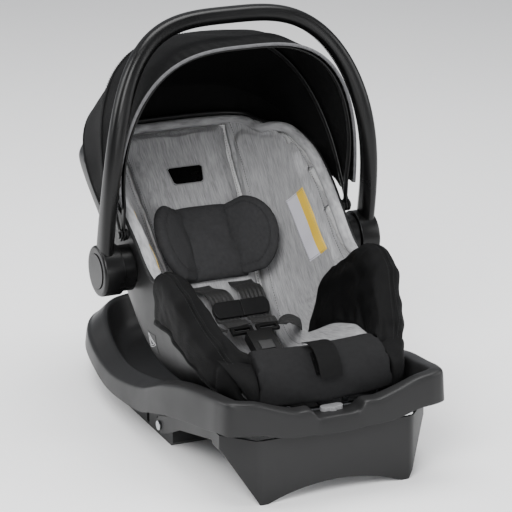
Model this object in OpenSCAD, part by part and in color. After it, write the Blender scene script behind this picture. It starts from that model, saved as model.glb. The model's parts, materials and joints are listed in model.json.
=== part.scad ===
// Rear-facing infant car seat: a carrier with handle, canopy and harness, latched into a vehicle base.
// X runs across the seat, +Y towards the head end, +Z up; the base stands on Z = 0.

/* [Base] */
// Width of the base over its skirt
base_w = 362; // [300:1:420]
// Length of the base from front skirt to rear skirt
base_l = 654; // [600:1:680]
// Wall of the base mouldings
base_wall = 3; // [2:0.5:5]
// Width of the flat rim around the tray
rim_flange = 32; // [24:1:40]
// Width of the underbody between its side walls' outer faces
under_w = 286; // [240:1:290]
// Diameter of the two pins that the recline foot turns on
foot_pin_d = 8; // [5:0.5:12]

/* [Carrier] */
// Width of the carrier shell at its rim
shell_w = 344; // [300:1:350]
// Wall of the carrier shell
shell_wall = 3.5; // [2.5:0.5:5]
// Thickness of the foam liner
foam_t = 11; // [6:1:16]
// Width of the harness webbing
web_w = 38; // [25:1:45]

/* [Handle] */
// Distance from the hub axis to the inside of the handle bow
handle_reach = 335; // [320:1:350]
// Width of the handle over the outer faces of its hubs, without the buttons
handle_w = 432; // [420:1:460]
// Depth of the handle bow, measured towards the hub
grip_d = 24; // [18:1:32]
// Radius of the hub discs
hub_r = 37; // [30:1:42]
// Radius of the round release buttons
button_r = 25; // [18:0.5:28]
// Travel of a handle button
button_travel = 4.5; // [2:0.5:5]

/* [Canopy] */
// Half width of the canopy over its cloth
canopy_half = 187; // [180:1:188]
// Thickness of the canopy cloth
cloth_t = 2; // [1:0.5:3]

/* [Fits] */
// Running clearance around pins and pivots
fit = 0.25; // [0.1:0.05:0.5]

/* [Hidden] */
$fn = 48;

light_heather = [0.66, 0.66, 0.67];
dark_cloth = [0.20, 0.20, 0.21];
black_cloth = [0.09, 0.09, 0.095];
shell_plastic = [0.17, 0.17, 0.18];
black_plastic = [0.07, 0.07, 0.075];
button_grey = [0.45, 0.45, 0.46];
steel = [0.62, 0.63, 0.65];

// Rim from front centre to rear centre:
// [share of half width, share of length, top, skirt height, flange rise, share of flange width]
RIM = [
    [0.000, 0.000, 117, 24, 0, 1.10], [0.155, 0.000, 118, 24, 0, 1.10], [0.225, 0.000, 130, 34, 0, 0.86],
    [0.345, 0.000, 131, 35, 0, 0.84], [0.500, 0.000, 140, 40, 0, 0.75], [0.660, 0.000, 151, 43, 0, 0.68],
    [0.800, 0.002, 155, 45, 0, 0.68], [0.888, 0.014, 156, 46, 0, 0.68], [0.920, 0.050, 154, 46, 0, 0.70],
    [0.935, 0.100, 149, 48, 0, 0.75], [0.965, 0.200, 139, 49, 0, 0.84], [0.990, 0.297, 121, 45, 2, 0.92],
    [1.000, 0.365, 103, 40, 5, 1.00], [1.000, 0.430, 87, 37, 8, 1.00], [1.000, 0.545, 71, 30, 9, 1.00],
    [0.995, 0.635, 67, 27, 10, 1.00], [0.975, 0.722, 73, 24, 14, 1.00], [0.925, 0.805, 82, 26, 20, 1.00],
    [0.830, 0.875, 85, 28, 22, 1.00], [0.690, 0.935, 83, 28, 23, 1.00], [0.510, 0.975, 80, 28, 24, 1.00],
    [0.260, 0.996, 79, 28, 24, 1.00], [0.000, 1.000, 79, 28, 24, 1.00]
];
base_front = -279;
mid_y = base_front + base_l / 2;
half_base = base_w / 2;

// Carrier sections from head rim to front lip: [share of half width, rim y, rim z, keel y, keel z]
BUCKET = [
    [0.740, 290, 374, 328, 381], [0.850, 268, 369, 346, 366], [0.965, 240, 367, 338, 334],
    [1.000, 200, 361, 300, 290], [1.000, 155, 350, 250, 236], [0.985, 102, 322, 196, 178],
    [0.965, 59, 292, 148, 124], [0.955, 20, 260, 100, 82], [0.950, -12, 247, 48, 62],
    [0.950, -45, 260, -8, 60], [0.950, -78, 258, -62, 68], [0.930, -112, 234, -112, 82],
    [0.860, -150, 190, -156, 98], [0.770, -190, 162, -196, 113], [0.660, -214, 142, -228, 126]
];
// Front of the cushions on the same sections: [seam half width, y, z]
CUSHION = [
    [84, 322, 378], [87, 316, 366], [87, 300, 345], [84, 266, 308], [80, 218, 256], [75, 168, 201],
    [69, 120, 148], [65, 80, 112], [64, 40, 98], [67, -8, 101], [74, -60, 116], [84, -110, 140],
    [94, -150, 164], [100, -176, 178], [104, -196, 184]
];
last_row = len(BUCKET) - 1;
half_shell = shell_w / 2;
box_power = 0.66;

hub_y = 70;
hub_z = 243;
shell_side = half_shell * 0.962;
hub_t = 30;
hub_out = handle_w / 2;
hub_in = hub_out - hub_t;
handle_lean = 4;
handle_bulge = 36;
handle_forward = 75;
handle_back = 85;

canopy_y = 71;
canopy_z = 292;
front_bow_angle = 96;
mid_bow_angle = 58;
rear_edge_angle = 26;
bow_t = 4;
bow_w = 10;
canopy_pin_r = 3;

back_angle = 47.5;
back_y = 76;
back_z = 100;

foot_y = -10;
foot_z = 40;
foot_turn = 3;
foot_arm_x = 150;
foot_arm_t = 5;

release_y = -252;
release_top = 122;
release_travel = 5;
latch_bar_y = -212;
latch_bar_z = 102;
latch_bar_r = 4;

// ---- curves ----
function blend4(a, b, c, d, t) =
    0.5 * (2 * b + (c - a) * t + (2 * a - 5 * b + 4 * c - d) * t * t + (3 * b - a - 3 * c + d) * t * t * t);
function pick(list, i) = list[max(0, min(len(list) - 1, i))];
function along(list, u) =
    let (i = min(floor(u), len(list) - 2))
    blend4(pick(list, i - 1), pick(list, i), pick(list, i + 1), pick(list, i + 2), u - i);
function mix(a, b, t) = a + (b - a) * t;
function unit(v) = v / max(norm(v), 1e-6);
function steps(n) = [for (i = [0:n]) i / n];

// ---- closed solids from grids of points ----
function flat(rows) = [for (row = rows) for (p = row) p];
// Two open grids of the same size, joined along their edges.
module skin(top, under) {
    nr = len(top);
    nc = len(top[0]);
    n = nr * nc;
    function at(i, j) = i * nc + j;
    edge = concat(
        [for (j = [0:nc - 1]) at(0, j)], [for (i = [1:nr - 1]) at(i, nc - 1)],
        [for (j = [nc - 2:-1:0]) at(nr - 1, j)], [for (i = [nr - 2:-1:1]) at(i, 0)]);
    m = len(edge);
    polyhedron(
        points = concat(flat(top), flat(under)),
        faces = concat(
            [for (i = [0:nr - 2]) for (j = [0:nc - 2]) each [
                [at(i, j), at(i, j + 1), at(i + 1, j + 1)], [at(i, j), at(i + 1, j + 1), at(i + 1, j)]]],
            [for (i = [0:nr - 2]) for (j = [0:nc - 2]) each [
                [n + at(i, j), n + at(i + 1, j + 1), n + at(i, j + 1)],
                [n + at(i, j), n + at(i + 1, j), n + at(i + 1, j + 1)]]],
            [for (k = [0:m - 1]) let (a = edge[k], b = edge[(k + 1) % m]) each [
                [a, n + b, b], [a, n + a, n + b]]]),
        convexity = 8);
}
// Rings of points joined end to end; closed = true joins the last ring to the first.
module rings(list, closed = false) {
    nr = len(list);
    nc = len(list[0]);
    turns = closed ? nr : nr - 1;
    polyhedron(
        points = flat(list),
        faces = concat(
            [for (i = [0:turns - 1]) for (j = [0:nc - 1])
                let (a = i * nc + j, b = i * nc + (j + 1) % nc, k = (i + 1) % nr)
                let (c = k * nc + (j + 1) % nc, d = k * nc + j)
                each [[a, b, c], [a, c, d]]],
            closed ? [] : [[for (j = [nc - 1:-1:0]) j]],
            closed ? [] : [[for (j = [0:nc - 1]) (nr - 1) * nc + j]]),
        convexity = 8);
}
// A bar of oval section swept along an arch that lies across X: size [along Y, in the arch's plane].
module sweep(path, size, sides = 10, power = 1) {
    n = len(path);
    function dir(i) = unit(pick(path, i + 1) - pick(path, i - 1));
    rings([for (i = [0:n - 1])
        let (t = dir(i), s = is_list(size[0]) ? size[i] : size)
        let (wide = unit(cross(t, [0, 1, 0.001])), deep = cross(wide, t))
        [for (k = [0:sides - 1]) let (a = 360 * k / sides)
            path[i] + wide * s[1] / 2 * sign(cos(a)) * pow(abs(cos(a)), power)
                + deep * s[0] / 2 * sign(sin(a)) * pow(abs(sin(a)), power)]]);
}
module centred() { translate([0, -mid_y, 0]) children(); }
module both_sides() { children(); mirror([1, 0, 0]) children(); }
module side(s) { if (s > 0) children(); else mirror([1, 0, 0]) children(); }
// A place on the seat back: up along the back, out of the cushion.
module on_back(x = 0, up = 0, out = 0) {
    translate([x, back_y, back_z]) rotate([back_angle, 0, 0]) translate([0, up, out]) children();
}
// A cylinder along X from x0 to x1.
module rod(r, x0, x1, y, z) { translate([x0, y, z]) rotate([0, 90, 0]) cylinder(r = r, h = x1 - x0); }

// ---- base ----
rim_steps = 46;
function rim_at(u, sgn = 1) =
    let (p = along(RIM, u))
    [sgn * p[0] * half_base, base_front + max(0, min(1, p[1])) * base_l, p[2], p[3], p[4], p[5] * rim_flange];
rim_half = [for (s = steps(rim_steps)) rim_at(s * (len(RIM) - 1))];
rim_loop = concat(rim_half, [for (i = [rim_steps - 1:-1:1]) let (r = rim_half[i])
    [-r[0], r[1], r[2], r[3], r[4], r[5]]]);
function floor_z(y) = 42 + 54 * min(1, max(0, (-60 - y) / 155));
function rim_inward(i) =
    let (n = len(rim_loop), a = rim_loop[(i + n - 2) % n], b = rim_loop[(i + 2) % n])
    let (d = unit([b[0] - a[0], b[1] - a[1]]))
    [-d[1], d[0]];
// Upper face of the tray from the skirt's lower edge to the edge of the floor opening, at one station.
function tray_profile(i, t) =
    let (r = rim_loop[i], v = rim_inward(i), x = r[0], y = r[1], z = r[2], wide = r[5])
    let (inner = [x * 0.42, mix(y, 20, 0.60)])
    let (foot = [x + v[0] * (wide + 12), y + v[1] * (wide + 12)])
    [
        [x - v[0] * (2.5 - t), y - v[1] * (2.5 - t), z - r[3]],
        [x + v[0] * t, y + v[1] * t, z - 6 - t * 0.5],
        [x + v[0] * (1.6 + t * 0.8), y + v[1] * (1.6 + t * 0.8), z - 1.6 - t * 0.9],
        [x + v[0] * 6, y + v[1] * 6, z - t],
        [x + v[0] * (wide - 4), y + v[1] * (wide - 4), z + r[4] - t],
        [x + v[0] * (wide - t * 0.4), y + v[1] * (wide - t * 0.4), z + r[4] - 3 - t],
        [foot[0] - v[0] * t * 0.6, foot[1] - v[1] * t * 0.6, floor_z(foot[1]) + 12 - t],
        [mix(foot[0], inner[0], 0.12), mix(foot[1], inner[1], 0.12),
            floor_z(mix(foot[1], inner[1], 0.12)) - t],
        [inner[0], inner[1], floor_z(inner[1]) - t]
    ];
module base_tray() color(shell_plastic) centred() difference() {
    rings([for (i = [0:len(rim_loop) - 1])
        concat(tray_profile(i, 0), [for (k = [8:-1:0]) tray_profile(i, base_wall)[k]])], closed = true);
    translate([0, release_y, 80]) linear_extrude(60) button_outline(0.5);
    for (s = [-1, 1]) translate([s * 44 - 6, latch_bar_y + 4, 70]) cube([12, 20, 45]);
}
module button_outline(grow) {
    for (s = [-1, 1]) translate([s * 10, 0.5]) circle(r = 6.5 + grow);
    translate([0, -1.5]) circle(r = 7 + grow);
    translate([-10, -6 - grow]) square([20, 13 + 2 * grow]);
}
under_front = -30;
under_rear = 235;
under_top = 42 - base_wall;
module base_underbody() color(shell_plastic) centred() difference() {
    rotate([90, 0, 90]) translate([0, 0, -under_w / 2]) linear_extrude(under_w)
        polygon([[under_front + 6, 0], [under_rear, 0], [under_rear + 48, under_top - 6],
            [under_rear + 48, under_top], [under_front, under_top], [under_front, 6]]);
    translate([-under_w / 2 + 4, under_front + 4, 4]) cube([under_w - 8, under_rear - under_front - 8, 60]);
    for (s = [-1, 1]) {
        rod(foot_pin_d / 2 + fit / 2, s > 0 ? under_w / 2 - 10 : -under_w / 2 - 5,
            s > 0 ? under_w / 2 + 5 : -under_w / 2 + 10, foot_y, foot_z - 12);
        translate([s * under_w / 2 - 5, 20, 4]) cube([10, 9, 22]);
        translate([s * under_w / 2 - 5, 60, 4]) cube([10, 9, 22]);
    }
    for (p = screw_places) translate([p[0], p[1], -1]) cylinder(r = 5 + fit, h = 4.2);
}
screw_places = [[-95, 60], [95, 60], [-95, 190], [95, 190]];
module base_screws() color(steel) centred()
    for (p = screw_places) translate([p[0], p[1], 0.8]) {
        difference() { cylinder(r = 5, h = 2.4); translate([0, 0, -1]) cylinder(r = 2.4, h = 2.2, $fn = 6); }
    }
module foot_pins() color(steel) centred() both_sides() {
    rod(foot_pin_d / 2, under_w / 2 - 7, foot_arm_x + foot_arm_t + 1, foot_y, foot_z - 12);
    rod(foot_pin_d / 2 + 3, foot_arm_x + foot_arm_t + 1, foot_arm_x + foot_arm_t + 3, foot_y, foot_z - 12);
}
foot_front = -268;
foot_half = 111;
foot_top = 94;
module foot_plan(inset) polygon([
    [-foot_arm_x - foot_arm_t + inset, -200], [-foot_arm_x - foot_arm_t + inset, -226],
    [-foot_half - 8 + inset * 0.5, foot_front + 3 + inset * 0.5], [-foot_half + 1, foot_front + inset],
    [foot_half - 1, foot_front + inset], [foot_half + 8 - inset * 0.5, foot_front + 3 + inset * 0.5],
    [foot_arm_x + foot_arm_t - inset, -226], [foot_arm_x + foot_arm_t - inset, -200]]);
module recline_foot() color(shell_plastic) centred() {
    difference() {
        linear_extrude(foot_top) foot_plan(0);
        translate([0, 0, -1]) linear_extrude(foot_top + 2) intersection() {
            foot_plan(foot_arm_t - 1);
            translate([-200, foot_front + 4]) square([400, 100]);
        }
        translate([-200, -201, -1]) cube([400, 10, foot_top + 2]);
        translate([0, -200, -245]) rotate([90, 0, 0]) cylinder(r = 265, h = 100, $fn = 120);
        for (s = [-1, 1]) translate([s * 111, -262, 0]) side(s) rotate([90, 0, 0])
            translate([0, 0, -80]) linear_extrude(160) polygon([[1, -1], [50, -1], [50, 82], [40, 68]]);
    }
    both_sides() difference() {
        rotate([90, 0, 90]) translate([0, 0, foot_arm_x]) linear_extrude(foot_arm_t)
            polygon([[-201, foot_top], [-201, 78], [-130, 60], [-84, 48], [-40, 26],
                [foot_y - 6, foot_z - 22], [foot_y + 6, foot_z - 22], [foot_y + 12, foot_z - 12],
                [foot_y + 6, foot_z], [-60, 60],
                [-120, 78], [-190, foot_top]]);
        rod(foot_pin_d / 2 + fit, foot_arm_x - 5, foot_arm_x + foot_arm_t + 5, foot_y, foot_z - 12);
    }
}
module release_button() color(button_grey) centred() translate([0, release_y, 0]) {
    translate([0, 0, release_top - 9]) linear_extrude(9) button_outline(0);
    translate([0, 1, release_top - 16]) cylinder(r = 4, h = 8);
}
slider_z = 78;
module latch_slider() color(steel) centred() {
    translate([-52, release_y + 12, slider_z]) cube([104, 38, 2.5]);
    for (s = [-1, 1]) translate([s * 44 - 4, latch_bar_y + 7, slider_z]) {
        cube([8, 5, 33]);
        translate([0, -2, 28.3]) cube([8, 3, 4.7]);
    }
}
module latch_spring() color(steel) centred()
    translate([0, release_y + 50.2, slider_z - 3.5]) rotate([-90, 0, 0]) difference() {
        cylinder(r = 4.5, h = 18);
        translate([0, 0, -1]) cylinder(r = 3.2, h = 20);
    }

// ---- carrier shell ----
bucket_rows = 28;
bucket_cols = 26;
// Keel tangent turned to the inside of the bucket.
function row_inside(u) =
    let (a = along(BUCKET, max(0, u - 0.3)), b = along(BUCKET, min(last_row, u + 0.3)))
    let (t = unit([b[3] - a[3], b[4] - a[4]]))
    [t[1], -t[0]];
function head_share(u) = max(0, 1 - u / 3.2);
// One point of the bucket: section u, angle a from -90 (left rim) to 90 (right rim), inset from the outside.
function bucket(u, a, inset = 0) =
    let (p = along(BUCKET, u), v = row_inside(u), c = pow(max(cos(a), 0), box_power))
    let (x = sign(a) * pow(abs(sin(a)), box_power) * (p[0] * half_shell - inset))
    let (k = inset * max(c, head_share(u)))
    [x, mix(p[1], p[3], c) + v[0] * k, mix(p[2], p[4], c) + v[1] * k];
// The section angle at which the inset bucket is x wide.
function angle_at(u, x, inset) =
    let (w = along(BUCKET, u)[0] * half_shell - inset) asin(min(1, pow(min(1, x / w), 1 / box_power)));
function bucket_grid(u0, u1, inset, rows = bucket_rows) =
    [for (s = steps(rows)) [for (k = steps(bucket_cols))
        bucket(mix(u0, u1, s), -90 + 180 * k, inset)]];
module carrier_shell() color(shell_plastic) centred() difference() {
    skin(bucket_grid(0, last_row, 0), bucket_grid(0, last_row, shell_wall));
    rod(4.15, -200, 200, hub_y, hub_z);
    rod(canopy_pin_r + 0.1, -200, 200, canopy_y, canopy_z);
}
liner_in = shell_wall + 1.6;
module foam_liner() color([0.85, 0.85, 0.86]) centred() difference() {
    skin(bucket_grid(0.5, 12.6, liner_in), bucket_grid(0.5, 12.6, liner_in + foam_t));
    rod(9, -200, 200, hub_y, hub_z);
    rod(7, -200, 200, canopy_y, canopy_z);
}

// ---- cushions: front face from the cushion table, back face on the foam ----
pad_in = liner_in + foam_t + 2;
function seam(u) = along(CUSHION, u);
seat_pad_end = 12.2;
module seat_pad() {
    function row(u, front) = let (c = seam(u), w = c[0] - 0.4)
        [for (k = [-4:4]) let (x = w * k / 4)
            front ? [x, c[1], c[2]] : bucket(u, sign(x) * angle_at(u, abs(x), pad_in), pad_in)];
    rows = [for (s = steps(20)) mix(0.9, seat_pad_end, s)];
    color(light_heather) centred() skin([for (u = rows) row(u, false)], [for (u = rows) row(u, true)]);
}
// The side cushion ends on a slant that the wing cover follows: k is 0 at the middle seam and 1 at the rim.
function side_pad_end(k) = mix(11.6, 8.4, k);
module side_pad(s) {
    function place(u, k, front) = let (c = seam(u), p = along(BUCKET, u), w = p[0] * half_shell - pad_in)
        let (x = mix(c[0] + 0.4, w, pow(k, 0.8)))
        front ? [x, mix(c[1], p[1], pow(k, 1.6)), mix(c[2], p[2], pow(k, 1.6)) + 3 * k]
            : bucket(u, angle_at(u, x, pad_in), pad_in);
    function face(front) = [for (t = steps(18))
        [for (k = steps(6)) place(mix(0.9, side_pad_end(k), t), k, front)]];
    color(light_heather) centred() side(s) skin(face(false), face(true));
}
module side_pad_left() side_pad(-1);
module side_pad_right() side_pad(1);

cover_t = 5;
cover_gap = 1.2;
wing_start = 8.7;
wing_end = 13.1;
// The cover wraps from a hem on the outside of the shell, over the rim and down the inside.
module wing_cover(s) {
    function at_row(start, t) = mix(start, wing_end, t);
    function hem(u) = mix(78, 62, pow((u - wing_start) / (wing_end - wing_start), 2));
    function outside(u, t) = [for (k = [0, 0.4, 0.7, 1]) bucket(u, mix(hem(u), 88, k), -cover_gap - t)];
    function crest(u, t) = let (p = along(BUCKET, u), x = p[0] * half_shell)
        [[x + cover_gap + t, p[1], p[2] - 1], [x - 1, p[1], p[2] + cover_gap + t],
            [x - pad_in - t / 2, p[1], p[2] + cover_gap + t * 0.6]];
    function inside(k, t, r) = let (u = at_row(side_pad_end(k) + 0.3, r), c = seam(u), p = along(BUCKET, u))
        let (x = mix(c[0] + 1, p[0] * half_shell - pad_in - t, pow(k, 0.8)))
        [x, mix(c[1], p[1], pow(k, 1.5)), mix(c[2], p[2], pow(k, 1.5)) + 1.5 * t * k - (4 - t) * (1 - k)];
    function row(r, t) = let (u = at_row(wing_start, r))
        concat(outside(u, t), crest(u, t), [for (k = [0.93, 0.7, 0.45, 0.2, 0.04]) inside(k, t, r)]);
    color(black_cloth) centred() side(s)
        skin([for (r = steps(12)) row(r, 0.1)], [for (r = steps(12)) row(r, cover_t)]);
}
module wing_cover_left() wing_cover(-1);
module wing_cover_right() wing_cover(1);

// Rolled front edge: from the seat over the shell's lip and down its front.
lip_round = 7;
module front_cushion() {
    under = [[-164, 128], [-190, 136], [-212, 145], [-227, 142], [-234, 134], [-234.5, 121]];
    over = [[-160, 171], [-184, 185], [-210, 185], [-230, 172], [-240, 150], [-241, 124]];
    function row(list, k, lift) = let (w = mix(84, 104, k), p = along(list, k * 5))
        [for (j = [-4:4]) let (q = j / 4) [w * q, p[0] + lip_round * q * q * k, p[1] + lift * q * q]];
    color(dark_cloth) centred()
        skin([for (k = steps(12)) row(under, k, 3)], [for (k = steps(12)) row(over, k, 4)]);
}

// ---- head support, badge and patches ----
module pillow_block(w0, w1, h, t) {
    rows = [for (s = steps(8)) [s, pow(max(0, 1 - pow(abs(2 * s - 1), 4)), 0.5)]];
    function row(r, top) = [for (k = [-4:4]) let (e = pow(1 - pow(abs(k) / 4, 4), 0.5))
        [mix(w0, w1, r[0]) * k / 4, h * r[0], top ? 3 + (t - 3) * (0.35 + 0.65 * r[1] * e) : 0]];
    skin([for (r = rows) row(r, false)], [for (r = rows) row(r, true)]);
}
module head_support_back() color(dark_cloth) centred() on_back(0, 97, 3) pillow_block(50, 46, 122, 22);
module head_support_side(s) color(dark_cloth) centred() side(s)
    on_back(56, 96, 8) rotate([0, -47, 0]) linear_extrude(20) difference() {
        union() {
            translate([14, 62]) scale([1, 1.42]) circle(r = 46);
            translate([0, 6]) square([20, 112]);
        }
        translate([-80, -20]) square([80, 200]);
    }
module head_support_left() head_support_side(-1);
module head_support_right() head_support_side(1);
module badge() color(black_plastic) centred() on_back(0, 260, 4.3) linear_extrude(3) hull() {
    for (s = [-1, 1]) { translate([s * 25, 26]) circle(r = 4); translate([s * 20, 5]) circle(r = 5); }
}
module patch(s) color([0.9, 0.88, 0.75]) centred() side(s)
    on_back(116, 108, 62) rotate([0, -62, 0]) rotate([0, 0, -4]) linear_extrude(0.8) square([30, 96]);
module patch_left() patch(-1);
module patch_right() patch(1);
module level_sticker() color([0.75, 0.75, 0.76]) centred() both_sides()
    skin([for (u = [7.9, 8.1, 8.3, 8.5]) [for (a = [60, 64, 68, 72]) bucket(u, a, -0.2)]],
        [for (u = [7.9, 8.1, 8.3, 8.5]) [for (a = [60, 64, 68, 72]) bucket(u, a, -0.7)]]);

// ---- harness ----
module strap(points, w = web_w, t = 1.6) {
    path = [for (s = steps(14)) along(points, s * (len(points) - 1))];
    function dir(i) = unit(pick(path, i + 1) - pick(path, i - 1));
    rings([for (i = [0:len(path) - 1]) let (d = dir(i), n = unit(cross([1, 0, 0], d)), x = cross(d, n))
        [for (c = [[-1, -1], [-1, 1], [1, 1], [1, -1]]) path[i] + x * c[0] * w / 2 + n * c[1] * t / 2]]);
}
// A point in front of the seat back: across, up along the back, out of it.
function back_point(x, up, out) = [x, back_y + up * cos(back_angle) - out * sin(back_angle),
    back_z + up * sin(back_angle) + out * cos(back_angle)];
module shoulder_strap(s) color(black_cloth) centred() side(s)
    strap([back_point(34, 96, 3), back_point(33, 84, 14), back_point(28, 66, 44), back_point(25, 45, 56.4),
        back_point(24.5, 15, 57), [22.5, 27, 151.5], [20.5, 12.6, 150]]);
module shoulder_strap_left() shoulder_strap(-1);
module shoulder_strap_right() shoulder_strap(1);
buckle_place = [0, -20, 128];
module lap_strap(s) color(black_cloth) centred() side(s)
    strap([[84, 42, 142], [72, 30, 150], [60, 18, 151], [50, 8, 149]], w = 22);
module lap_strap_left() lap_strap(-1);
module lap_strap_right() lap_strap(1);
clip_up = 30;
clip_out = 56;
module chest_clip(s) color(black_plastic) centred() side(s) on_back(0, clip_up, clip_out - 3) {
    difference() {
        linear_extrude(9) union() {
            translate([0.2, -13]) square([36, 26]);
            translate([36, 0]) scale([0.6, 1]) circle(r = 13);
        }
        translate([3.6, -14, 1.6]) cube([web_w + 8, 28, 4.6]);
    }
}
module chest_clip_left() chest_clip(-1);
module chest_clip_right() chest_clip(1);
module at_buckle() { translate(buckle_place) rotate([24, 0, 0]) children(); }
module buckle_body() color(black_plastic) centred() at_buckle() difference() {
    linear_extrude(16) union() {
        translate([-20, -26]) square([40, 44]);
        translate([0, -26]) scale([1, 0.4]) circle(r = 20);
    }
    translate([-11, -22, 6]) cube([22, 18, 11]);
    for (s = [-1, 1]) translate([s * 10 - 6, 8, 5]) cube([12, 11, 5]);
}
module buckle_button() color([0.16, 0.16, 0.165]) centred() at_buckle()
    translate([-11 + fit, -22 + fit, 10]) cube([22 - 2 * fit, 18 - 2 * fit, 7]);
module tongue(s) color(steel) centred() side(s) at_buckle() {
    translate([4.5, 8.5, 5.6]) cube([11, 14, 3]);
    difference() {
        translate([3, 22.5, 4.6]) cube([34, 14, 5]);
        translate([8, 27, 4]) cube([24, 5, 6]);
    }
}
module tongue_left() tongue(-1);
module tongue_right() tongue(1);
module crotch_strap() color(black_cloth) centred()
    strap([[0, -25, 109.5], [0, -27, 115], [0, -28, 123]], w = 30);

module at_adjuster() { translate([0, -226, 173]) rotate([48, 0, 0]) children(); }
module adjuster_housing() color(black_plastic) centred() at_adjuster() difference() {
    translate([-17, -16, 4]) cube([34, 32, 7]);
    translate([-11, -12, 5.5]) cube([22, 22, 7]);
    rod(1.6, -20, 20, 6, 8.4);
}
module adjuster_lever() color(steel) centred() at_adjuster() difference() {
    union() {
        translate([-10, -11, 8]) cube([20, 18, 1.6]);
        rod(1.4, -16, 16, 6, 8.4);
    }
    translate([-5, -8, 6]) cube([10, 4, 5]);
}
module adjuster_flap() color(black_cloth) centred() strap([[0, -190, 193], [0, -208, 198],
    [0, -227, 196], [0, -244, 181], [0, -252, 163]], w = 34, t = 1.6);
module splitter_plate() color(steel) centred()
    translate([0, 275, 261]) rotate([back_angle, 0, 0]) difference() {
    translate([-28, -14, -2.5]) cube([56, 28, 2.5]);
    for (s = [-1, 1]) translate([s * 15 - 7, 4, -4]) cube([14, 4, 6]);
    translate([-12, -9, -4]) cube([24, 4, 6]);
}
module latch_bar_front() color(steel) centred() {
    rod(latch_bar_r, -92, 92, latch_bar_y, latch_bar_z);
    both_sides() translate([86, latch_bar_y - 2, latch_bar_z]) cube([4, 4, 20]);
}
module latch_bar_rear() color(steel) centred() {
    rod(latch_bar_r, -60, 60, 122, 78);
    both_sides() translate([54, 120, 78]) cube([4, 4, 22]);
}

// ---- hubs and handle ----
gear_r = 16.5;
gear_t = 9.5;
gear_room = 10.5;
module gear_outline(grow = 0) {
    circle(r = gear_r - 2.5 + grow);
    for (k = [0:7]) rotate(k * 45) translate([0, -3 - grow]) square([gear_r + grow, 6 + 2 * grow]);
}
module hub_base(s) color(black_plastic) centred() side(s) difference() {
    rod(hub_r - 4, shell_side + 1.6, hub_in - 0.5, hub_y, hub_z);
    rod(gear_r + 0.8, hub_in - gear_room, hub_in, hub_y, hub_z);
    rod(4 + fit / 2, shell_side - 1, hub_in, hub_y, hub_z);
}
module hub_base_left() hub_base(-1);
module hub_base_right() hub_base(1);
web_x = hub_in + 9;
module hub_pin(s) color(steel) centred() side(s) {
    rod(4, 160, web_x + 4.3, hub_y, hub_z);
    rod(7, web_x + 4.3, web_x + 7, hub_y, hub_z);
}
module hub_pin_left() hub_pin(-1);
module hub_pin_right() hub_pin(1);
module hub_spring(s) color(steel) centred() side(s) difference() {
    rod(8, hub_in - gear_room + 0.2, hub_in - 5.2, hub_y, hub_z);
    rod(5.5, hub_in - gear_room, hub_in - 5, hub_y, hub_z);
}
module hub_spring_left() hub_spring(-1);
module hub_spring_right() hub_spring(1);
cap_face = 1.2;
module hub_button(s) color(black_plastic) centred() side(s) {
    difference() {
        rod(button_r, web_x + 4 + button_travel + 0.5, hub_out + cap_face, hub_y, hub_z);
        rod(9, web_x + 4, hub_out - 5, hub_y, hub_z);
    }
    translate([0, hub_y, hub_z]) for (k = [0:2]) rotate([k * 120 + 30, 0, 0]) translate([0, -hub_y, -hub_z])
        rod(2, hub_in - 1, web_x + 5 + button_travel, hub_y + 11.5, hub_z);
    difference() {
        translate([hub_in - 5, hub_y, hub_z]) rotate([0, 90, 0]) linear_extrude(gear_t) gear_outline();
        rod(4 + 2 * fit, hub_in - 6, hub_in + gear_t, hub_y, hub_z);
    }
}
module hub_button_left() hub_button(-1);
module hub_button_right() hub_button(1);
leg_x = hub_out - 10;
bow_steps = 40;
// Centre of the handle bow; s runs 0 to 1 over the arch.
function bow_point(s) = let (a = 180 * s, w = leg_x - 1, r = handle_reach + grip_d / 2)
    let (f = pow(abs(sin(a)), 0.76), x = sign(cos(a)) * pow(abs(cos(a)), 0.60) * w)
    let (across = -handle_bulge * sin(180 * pow(f, 1.1)), up = r * f)
    [x, hub_y + up * sin(handle_lean) + across * cos(handle_lean),
        hub_z + up * cos(handle_lean) - across * sin(handle_lean)];
grip_w = 26;
leg_w = 40;
leg_t = 19;
// Width along the swing and depth towards the hub.
function bow_size(s) = let (e = pow(abs(2 * s - 1), 6)) [mix(grip_w, leg_w, e), mix(grip_d, leg_t, e)];
module handle_bow() color(black_plastic) centred() difference() {
    union() {
        path = [for (s = steps(bow_steps)) bow_point(mix(0.012, 0.988, s))];
        sweep(path, [for (s = steps(bow_steps)) bow_size(s)], sides = 12, power = 0.85);
        both_sides() rod(hub_r, hub_in, hub_out, hub_y, hub_z);
    }
    both_sides() {
        rod(button_r + fit, web_x + 4, hub_out + 40, hub_y, hub_z);
        rod(4 + fit, hub_in - 1, web_x + 5, hub_y, hub_z);
        translate([hub_in - 30, hub_y, hub_z]) rotate([0, 90, 0]) linear_extrude(39) gear_outline(0.4);
        translate([0, hub_y, hub_z]) for (k = [0:2]) rotate([k * 120 + 30, 0, 0])
            translate([0, -hub_y, -hub_z]) rod(2.5, hub_in - 1, web_x + 5, hub_y + 11.5, hub_z);
    }
}

// ---- canopy ----
// Distance of the canopy from the hub axis in the direction of a point, kept inside the handle's swing.
function canopy_reach(angle) = mix(327, 316, min(1, max(0, (angle - 62) / 34)));
// Radius about the canopy pivot where the canopy surface lies at this angle.
function pivot_radius(angle) =
    let (dy = canopy_y - hub_y, dz = canopy_z - hub_z, r = canopy_reach(angle))
    let (b = dy * cos(angle) + dz * sin(angle)) -b + sqrt(b * b - dy * dy - dz * dz + r * r);
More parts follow.
